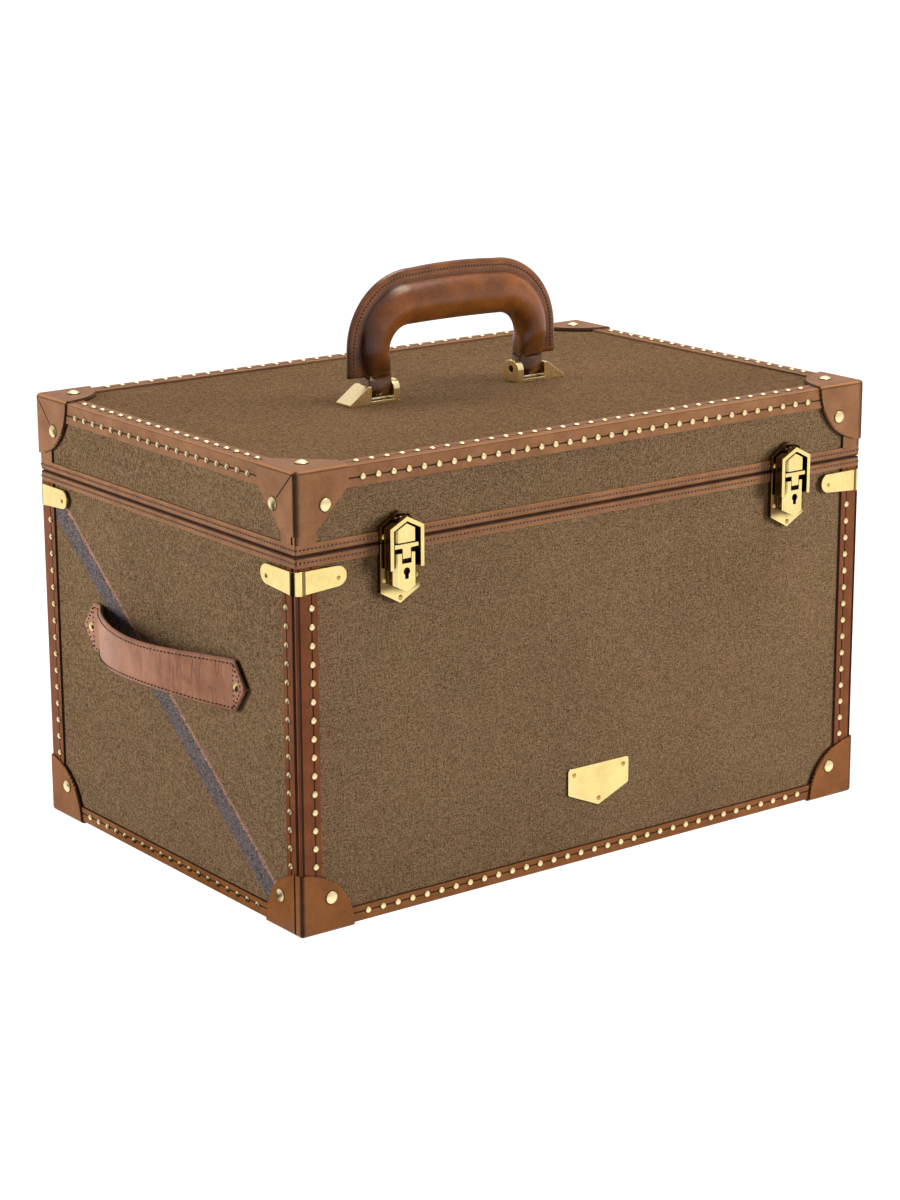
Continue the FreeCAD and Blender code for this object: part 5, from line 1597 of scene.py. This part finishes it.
# %% The bracket's bend
BRACKET_TOP = 199.4 * MM
BRACKET_TALL = 13 * MM
BRACKET_TIP = 10.8 * MM
BRACKET_ARM = 32 * MM
BRACKET_BEND = 5.5 * MM
BRACKET_PROUD = 0.25 * MM
BRACKET_END = 0.5 * MM


def bracket_path(steps=40, bend_steps=24):
    """Stations from one arm's end to the other: place from the corner, outward way, length to the end."""
    arm = []
    long = BRACKET_ARM + BRACKET_PROUD
    for step in range(steps + 1):
        left = (long - BRACKET_BEND) * (1 - math.cos(math.pi / 2 * step / steps))
        arm.append((Vector((0, long - left)), Vector((-1, 0)), left))
    hub = Vector((BRACKET_BEND, BRACKET_BEND))
    bend = []
    for step in range(1, bend_steps):
        turn = math.pi * (1 + 0.5 * step / bend_steps)
        out = Vector((math.cos(turn), math.sin(turn)))
        bend.append((hub + out * BRACKET_BEND, out, long))
    other = [(spot.yx, out.yx, left) for spot, out, left in reversed(arm)]
    return arm + bend + other


def bracket_heights(left):
    """The strip's top and bottom at a distance from the arm's end, which is round."""
    radius = BRACKET_TIP / 2
    low = BRACKET_TOP - BRACKET_TIP - (BRACKET_TALL - BRACKET_TIP) * min(1.0, left / BRACKET_ARM)
    cut = max(0.0, radius - left)
    lost = radius - math.sqrt(max(0.0, radius * radius - cut * cut))
    lost = min(lost, radius - BRACKET_END)
    return BRACKET_TOP - lost, low + lost


print("bracket path:", len(bracket_path()), "stations")

# %% Corner brackets
BRACKET_THICK = 1.4 * MM
BRACKET_EDGE = 0.35 * MM
# Two bands round the bend, in degrees, painted dark as reflections.
BEND_DARK_REFLECTIONS = ((4, 38, 0.85), (80, 97, 0.9))
BEND_REACH = 1.5 * MM


def add_bracket(shape, side_x, side_y):
    """One bracket, round one corner of the base."""
    edge, thick = BRACKET_EDGE, BRACKET_THICK
    rings = []
    for spot, out, left in bracket_path():
        top, low = bracket_heights(left)
        section = ((0, top - edge), (edge, top), (thick, top), (thick, low), (edge, low), (0, low + edge))
        ring = []
        for deep, height in section:
            place = spot - out * deep
            x, y = (half + BRACKET_PROUD - part for half, part in zip(CASE_HALF, place))
            ring.append((side_x * x, side_y * y, height))
        rings.append(ring)
    loft(shape, rings)


def paint_bend_reflection(face):
    """The mark of a face in the two dark lines along a bracket's bend: painted dark reflections."""
    middle = face.calc_center_median()
    aside = [BRACKET_BEND - BRACKET_PROUD - inset_of(middle, axis) for axis in (X, Y)]
    turn = math.degrees(math.atan2(aside[1], aside[0]))
    if min(aside) <= -BEND_REACH:
        return 0.0
    return max([dark for low, high, dark in BEND_DARK_REFLECTIONS if low < turn < high], default=0.0)


brackets = bmesh.new()
for side_x in (-1, 1):
    for side_y in (-1, 1):
        add_bracket(brackets, side_x, side_y)
bmesh.ops.recalc_face_normals(brackets, faces=brackets.faces)
mark_faces(brackets, "groove", paint_bend_reflection)
as_piece("corner_brackets_brass", brackets, "base", "brass", BRASS, "corner_brackets")
print("corner brackets: 4")

# %% [markdown]
# ## The nodes that stay
# Boards, pins, strap rivets and small rivets have no copies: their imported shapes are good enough, since they
# are hidden or only a few millimetres wide. They could be copied like the rest, but a finish is all they
# need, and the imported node's slot says which one.

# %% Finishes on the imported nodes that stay
KEPT_FINISHES = {"brass": BRASS, "plywood": PLYWOOD}
OTHER_BRASS = {
    "handle_pins": AGED_BRASS, "hasp_pins": AGED_BRASS,
    "base_small_rivets": RIVET_BRASS, "lid_small_rivets": RIVET_BRASS,
}


def dress_nodes():
    """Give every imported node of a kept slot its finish."""
    dressed = 0
    for node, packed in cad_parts.items():
        for spot in packed.material_slots:
            if spot.material and spot.material.name in KEPT_FINISHES:
                spot.material = OTHER_BRASS.get(node) or KEPT_FINISHES[spot.material.name]
                dressed += 1
    return dressed


print("packed nodes dressed:", dress_nodes())

# %% [markdown]
# ## The tray
# Under the lid a lift-out tray rests on two ledges. Its walls and dividers are thin board wrapped in suede,
# so their edges are round, not cut. The ring rolls are stuffed tubes, side by side, that bulge between
# their ends.

# %% Tray, dividers, ledges and ring rolls
WRAPPED_EDGE = 0.9 * MM
ROLL_COUNT = 6
ROLL_SPACE = 1 * MM
ROLL_SECTION = 18
ROLL_STEPS = 60
ROLL_FLAT = 0.9


def roll_section(half, tall, plump):
    """A roll's outline: flat below, round above, fuller in the middle than at the ends."""
    outline = []
    for step in range(ROLL_SECTION):
        turn = math.pi * (step / (ROLL_SECTION - 1))
        across = half * plump * math.copysign(abs(math.cos(turn)) ** 0.7, math.cos(turn))
        outline.append((across, tall * plump * (0.25 + 0.75 * math.sin(turn) ** 0.8)))
    return outline + [(side * half * plump * ROLL_FLAT, 0.0) for side in (-1, 1)]


def ring_rolls():
    """The stuffed rolls that hold rings, side by side across the tray."""
    low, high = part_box("ring_rolls")
    pitch = (high[1] - low[1] + ROLL_SPACE) / ROLL_COUNT
    half = (pitch - ROLL_SPACE) / 2
    shape = bmesh.new()
    for number in range(ROLL_COUNT):
        middle = low[1] + half + number * pitch
        rings = []
        for step in range(ROLL_STEPS + 1):
            share = 2 * step / ROLL_STEPS - 1
            plump = 0.55 + 0.45 * (1 - abs(share) ** 14) ** 0.5
            plump *= 0.985 + 0.015 * noise.noise(Vector((share * 6, number * 3.1, 0)))
            x = (low[0] + high[0]) / 2 + share * (high[0] - low[0]) / 2
            section = roll_section(half, high[2] - low[2], plump)
            rings.append([(x, middle + across, low[2] + level) for across, level in section])
        loft(shape, rings)
    bmesh.ops.recalc_face_normals(shape, faces=shape.faces)
    return shape


for node, body in (("tray_frame", "tray"), ("tray_dividers", "tray"), ("tray_ledges", "base")):
    wrapped = soften(copy_of(node, True), WRAPPED_EDGE, 3)
    as_piece(node + "_suede", wrapped, body, "tray_cover", TRAY_SUEDE, node)
rolls = as_piece("ring_rolls_suede", ring_rolls(), "tray", "lining", LINING_SUEDE, "ring_rolls")
print("ring rolls:", ROLL_COUNT)

# %% [markdown]
# ## The quilted pad in the lid
# A thin pad of suede is glued inside the lid and quilted in diamonds. Cloth under pressure gives the puffed
# diamonds by itself: the skin starts as a thin slab whose back and quilting lines are pinned, the pressure
# fills it for a few frames, and the result is kept as a plain mesh.

# %% The pad's slab
PAD_CELL = 6 * MM
PAD_DIAMOND = 8
PAD_START = 2.2 * MM


def pad_slab():
    """A thin slab of quads under the lid, with its skin, and whether each vertex is held."""
    low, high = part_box("lid_pad")
    wide, deep = (round((high[axis] - low[axis]) / PAD_CELL) for axis in (X, Y))
    spots = [(i, j) for i in range(wide + 1) for j in range(deep + 1)]
    shape = bmesh.new()
    held = []
    layers = []
    for height, is_back in ((high[2], True), (high[2] - PAD_START, False)):
        grid = {}
        for i, j in spots:
            x = low[0] + (high[0] - low[0]) * i / wide
            y = low[1] + (high[1] - low[1]) * j / deep
            grid[i, j] = shape.verts.new((x, y, height))
            rim = i in (0, wide) or j in (0, deep)
            quilted = (i + j) % PAD_DIAMOND == 0 or (i - j) % PAD_DIAMOND == 0
            held.append(is_back or rim or quilted)
        layers.append(grid)
    for grid, flip in zip(layers, (False, True)):
        for i, j in spots:
            if i < wide and j < deep:
                face = (grid[i, j], grid[i + 1, j], grid[i + 1, j + 1], grid[i, j + 1])
                shape.faces.new(face[::-1] if flip else face)
    back, skin = layers
    loop = [(i, 0) for i in range(wide)] + [(wide, j) for j in range(deep)]
    loop += [(i, deep) for i in range(wide, 0, -1)] + [(0, j) for j in range(deep, 0, -1)]
    for here, there in zip(loop, loop[1:] + loop[:1]):
        shape.faces.new((back[here], skin[here], skin[there], back[there]))
    bmesh.ops.recalc_face_normals(shape, faces=shape.faces)
    return shape, held


print("helper ready: pad_slab")

# %% The lid pad
PAD_MOST = 3.6 * MM
PAD_FRAMES = 20
PAD_CLOTH = {
    "vertex_group_mass": "held", "use_pressure": True, "uniform_pressure_force": 60.0,
    "tension_stiffness": 1.5, "compression_stiffness": 1.5, "shear_stiffness": 0.8, "bending_stiffness": 0.1,
}


def fill_pad(pad, held):
    """Fill the pad with cloth pressure for a few frames. Gives where its vertices end up."""
    pins = pad.vertex_groups.new(name="held")
    pins.add([number for number, pinned in enumerate(held) if pinned], 1.0, "REPLACE")
    cloth = pad.modifiers.new("cloth", "CLOTH")
    for name, value in PAD_CLOTH.items():
        setattr(cloth.settings, name, value)
    cloth.settings.effector_weights.gravity = 0.0
    scene = bpy.context.scene
    for number in range(1, PAD_FRAMES + 1):
        scene.frame_set(number)
    filled = pad.evaluated_get(bpy.context.evaluated_depsgraph_get())
    places = [vert.co.copy() for vert in filled.data.vertices]
    pad.modifiers.remove(cloth)
    scene.frame_set(1)
    return places


def lid_pad():
    """The quilted pad under the lid."""
    shape, held = pad_slab()
    pad = as_piece("lid_pad_suede", shape, "lid", "lining", LINING_SUEDE, "lid_pad")
    pad.modifiers.clear()
    places = fill_pad(pad, held)
    for vert, place in zip(pad.data.vertices, places):
        moved = place - vert.co
        vert.co += moved.normalized() * min(moved.length, PAD_MOST)
    finer = pad.modifiers.new("finer", "SUBSURF")
    finer.levels = 1
    finer.render_levels = 1
    return pad


pad = lid_pad()
print("lid pad sinks to", round(min(vert.co.z for vert in pad.data.vertices) * 1000, 1), "mm")

# %% [markdown]
# ## Floor and light
# The case was photographed on white with soft light. The floor is plain and pale. Brass shows what
# surrounds it, so the light matters as much as the finish: one broad panel at the left back, one at the right
# front and a weak one overhead, so that the edge between the two visible sides turns away from both. The
# Light Path node lets the camera see the floor and the surround white. For polished metal the floor glows, a
# painted reflection, and a dark band lies on the left in that glow and in the surround.

# %% Floor
FLOOR_SIZE = 8.0
FLOOR_GREYS = (0.62, 0.62, 0.62, 1), (0.66, 0.66, 0.66, 1)
FLOOR_SHADER = {"Roughness": 0.8, "Specular IOR Level": 0.1}
FLOOR_SEEN = 1.4
FLOOR_SEEN_SHARE = 0.75
FLOOR_MIRRORED = 1.22
DARK_BAND_SIDE = (-0.998, -0.055, 0.0)
DARK_BAND_RANGE = (0.92, 1.5, 0.03)
DARK_BAND_DEPTH = 0.97


def mirrored_light(tree, way, bright):
    """What polished metal sees in a direction: bright, but dark in a band towards one side."""
    aim = add(tree, "VectorMath", operation="NORMALIZE")
    feed(tree, aim.inputs[0], way)
    lean = add(tree, "VectorMath", operation="DOT_PRODUCT")
    feed(tree, lean.inputs[0], aim.outputs[0])
    feed(tree, lean.inputs[1], DARK_BAND_SIDE)
    dark_band = between(tree, lean.outputs["Value"], *DARK_BAND_RANGE)
    return scaled(tree, dark_band, -DARK_BAND_DEPTH * bright, bright)


def floor_finish():
    """A pale matt floor that glows white to the camera, and glows for polished metal as a painted reflection
    from below.
    """
    finish, tree, shader = new_finish("pale floor")
    spot = own_place(tree)
    grey = mix_colour(tree, noise_at(tree, spot, 3.0), *FLOOR_GREYS)
    wire(tree, shader, {"Base Color": grey, **FLOOR_SHADER})
    path = add(tree, "LightPath").outputs
    # For glossy rays the floor glows: a painted reflection, with its dark band.
    mirrored = scaled(tree, mirrored_light(tree, spot, FLOOR_MIRRORED), path["Is Glossy Ray"])
    bright = scaled(tree, path["Is Camera Ray"], FLOOR_SEEN, mirrored)
    glow = wire(tree, add(tree, "Emission"), {"Strength": bright})
    share = scaled(tree, path["Is Camera Ray"], FLOOR_SEEN_SHARE, path["Is Glossy Ray"])
    both = add(tree, "MixShader")
    for socket, value in zip(both.inputs, (share, shader.outputs[0], glow[0])):
        feed(tree, socket, value)
    feed(tree, tree.nodes["Material Output"].inputs["Surface"], both.outputs[0])
    return finish


def pale_floor():
    """A large plain floor."""
    shape = bmesh.new()
    bmesh.ops.create_grid(shape, x_segments=8, y_segments=8, size=FLOOR_SIZE)
    mesh = bpy.data.meshes.new("floor")
    shape.to_mesh(mesh)
    shape.free()
    mesh.materials.append(floor_finish())
    floor = bpy.data.objects.new("floor", mesh)
    bpy.context.collection.objects.link(floor)


pale_floor()
print("floor:", 2 * FLOOR_SIZE, "m wide")

# %% Panels and surround
CASE_CENTRE = Vector((0, 0, 0.13))
LEFT_PANEL = (-2.0, 1.2, 0.5)
RIGHT_PANEL = (2.0, -1.7, 0.5)
OVERHEAD_PANEL = (0.5, 0.1, 2.3)
SIDE_SIZE = (0.9, 1.0)
OVERHEAD_SIZE = (2.6, 0.7)
LEFT_WATTS, RIGHT_WATTS, OVERHEAD_WATTS = 58, 85, 56
WARM_WHITE = (1.0, 0.86, 0.74)
SURROUND_SEEN = 1.0
SURROUND_FELT = 0.12
SURROUND_MIRRORED = 0.8


def soft_panel(name, place, size, power, mirrored):
    """A panel of soft light aimed at the case, and whether glossy surfaces mirror it."""
    light = bpy.data.lights.new(name, "AREA")
    light.shape = "RECTANGLE"
    light.size, light.size_y = size
    light.energy = power
    panel = bpy.data.objects.new(name, light)
    panel.location = place
    panel.visible_glossy = mirrored
    panel.rotation_euler = (CASE_CENTRE - Vector(place)).to_track_quat("-Z", "Y").to_euler()
    bpy.context.collection.objects.link(panel)
    return panel


def dim_surround():
    """A surround that the camera sees at one brightness and matt surfaces feel at another."""
    world = bpy.data.worlds.new("surround")
    world.use_nodes = True
    tree = world.node_tree
    path = add(tree, "LightPath").outputs
    extra = SURROUND_SEEN - SURROUND_FELT
    strength = scaled(tree, path["Is Camera Ray"], extra, SURROUND_FELT)
    bright = mirrored_light(tree, add(tree, "TexCoord").outputs["Generated"], SURROUND_MIRRORED)
    gain = work_out(tree, "SUBTRACT", bright, SURROUND_FELT)
    strength = scaled(tree, path["Is Glossy Ray"], gain, strength)
    wire(tree, tree.nodes["Background"], {"Strength": strength, "Color": (1, 1, 1, 1)})
    bpy.context.scene.world = world


soft_panel("left panel", LEFT_PANEL, SIDE_SIZE, LEFT_WATTS, False)
soft_panel("right panel", RIGHT_PANEL, SIDE_SIZE, RIGHT_WATTS, False)
overhead = soft_panel("overhead panel", OVERHEAD_PANEL, OVERHEAD_SIZE, OVERHEAD_WATTS, True)
overhead.data.color = WARM_WHITE
dim_surround()
bpy.context.scene.view_settings.view_transform = "Standard"
print("three panels and a dim surround")
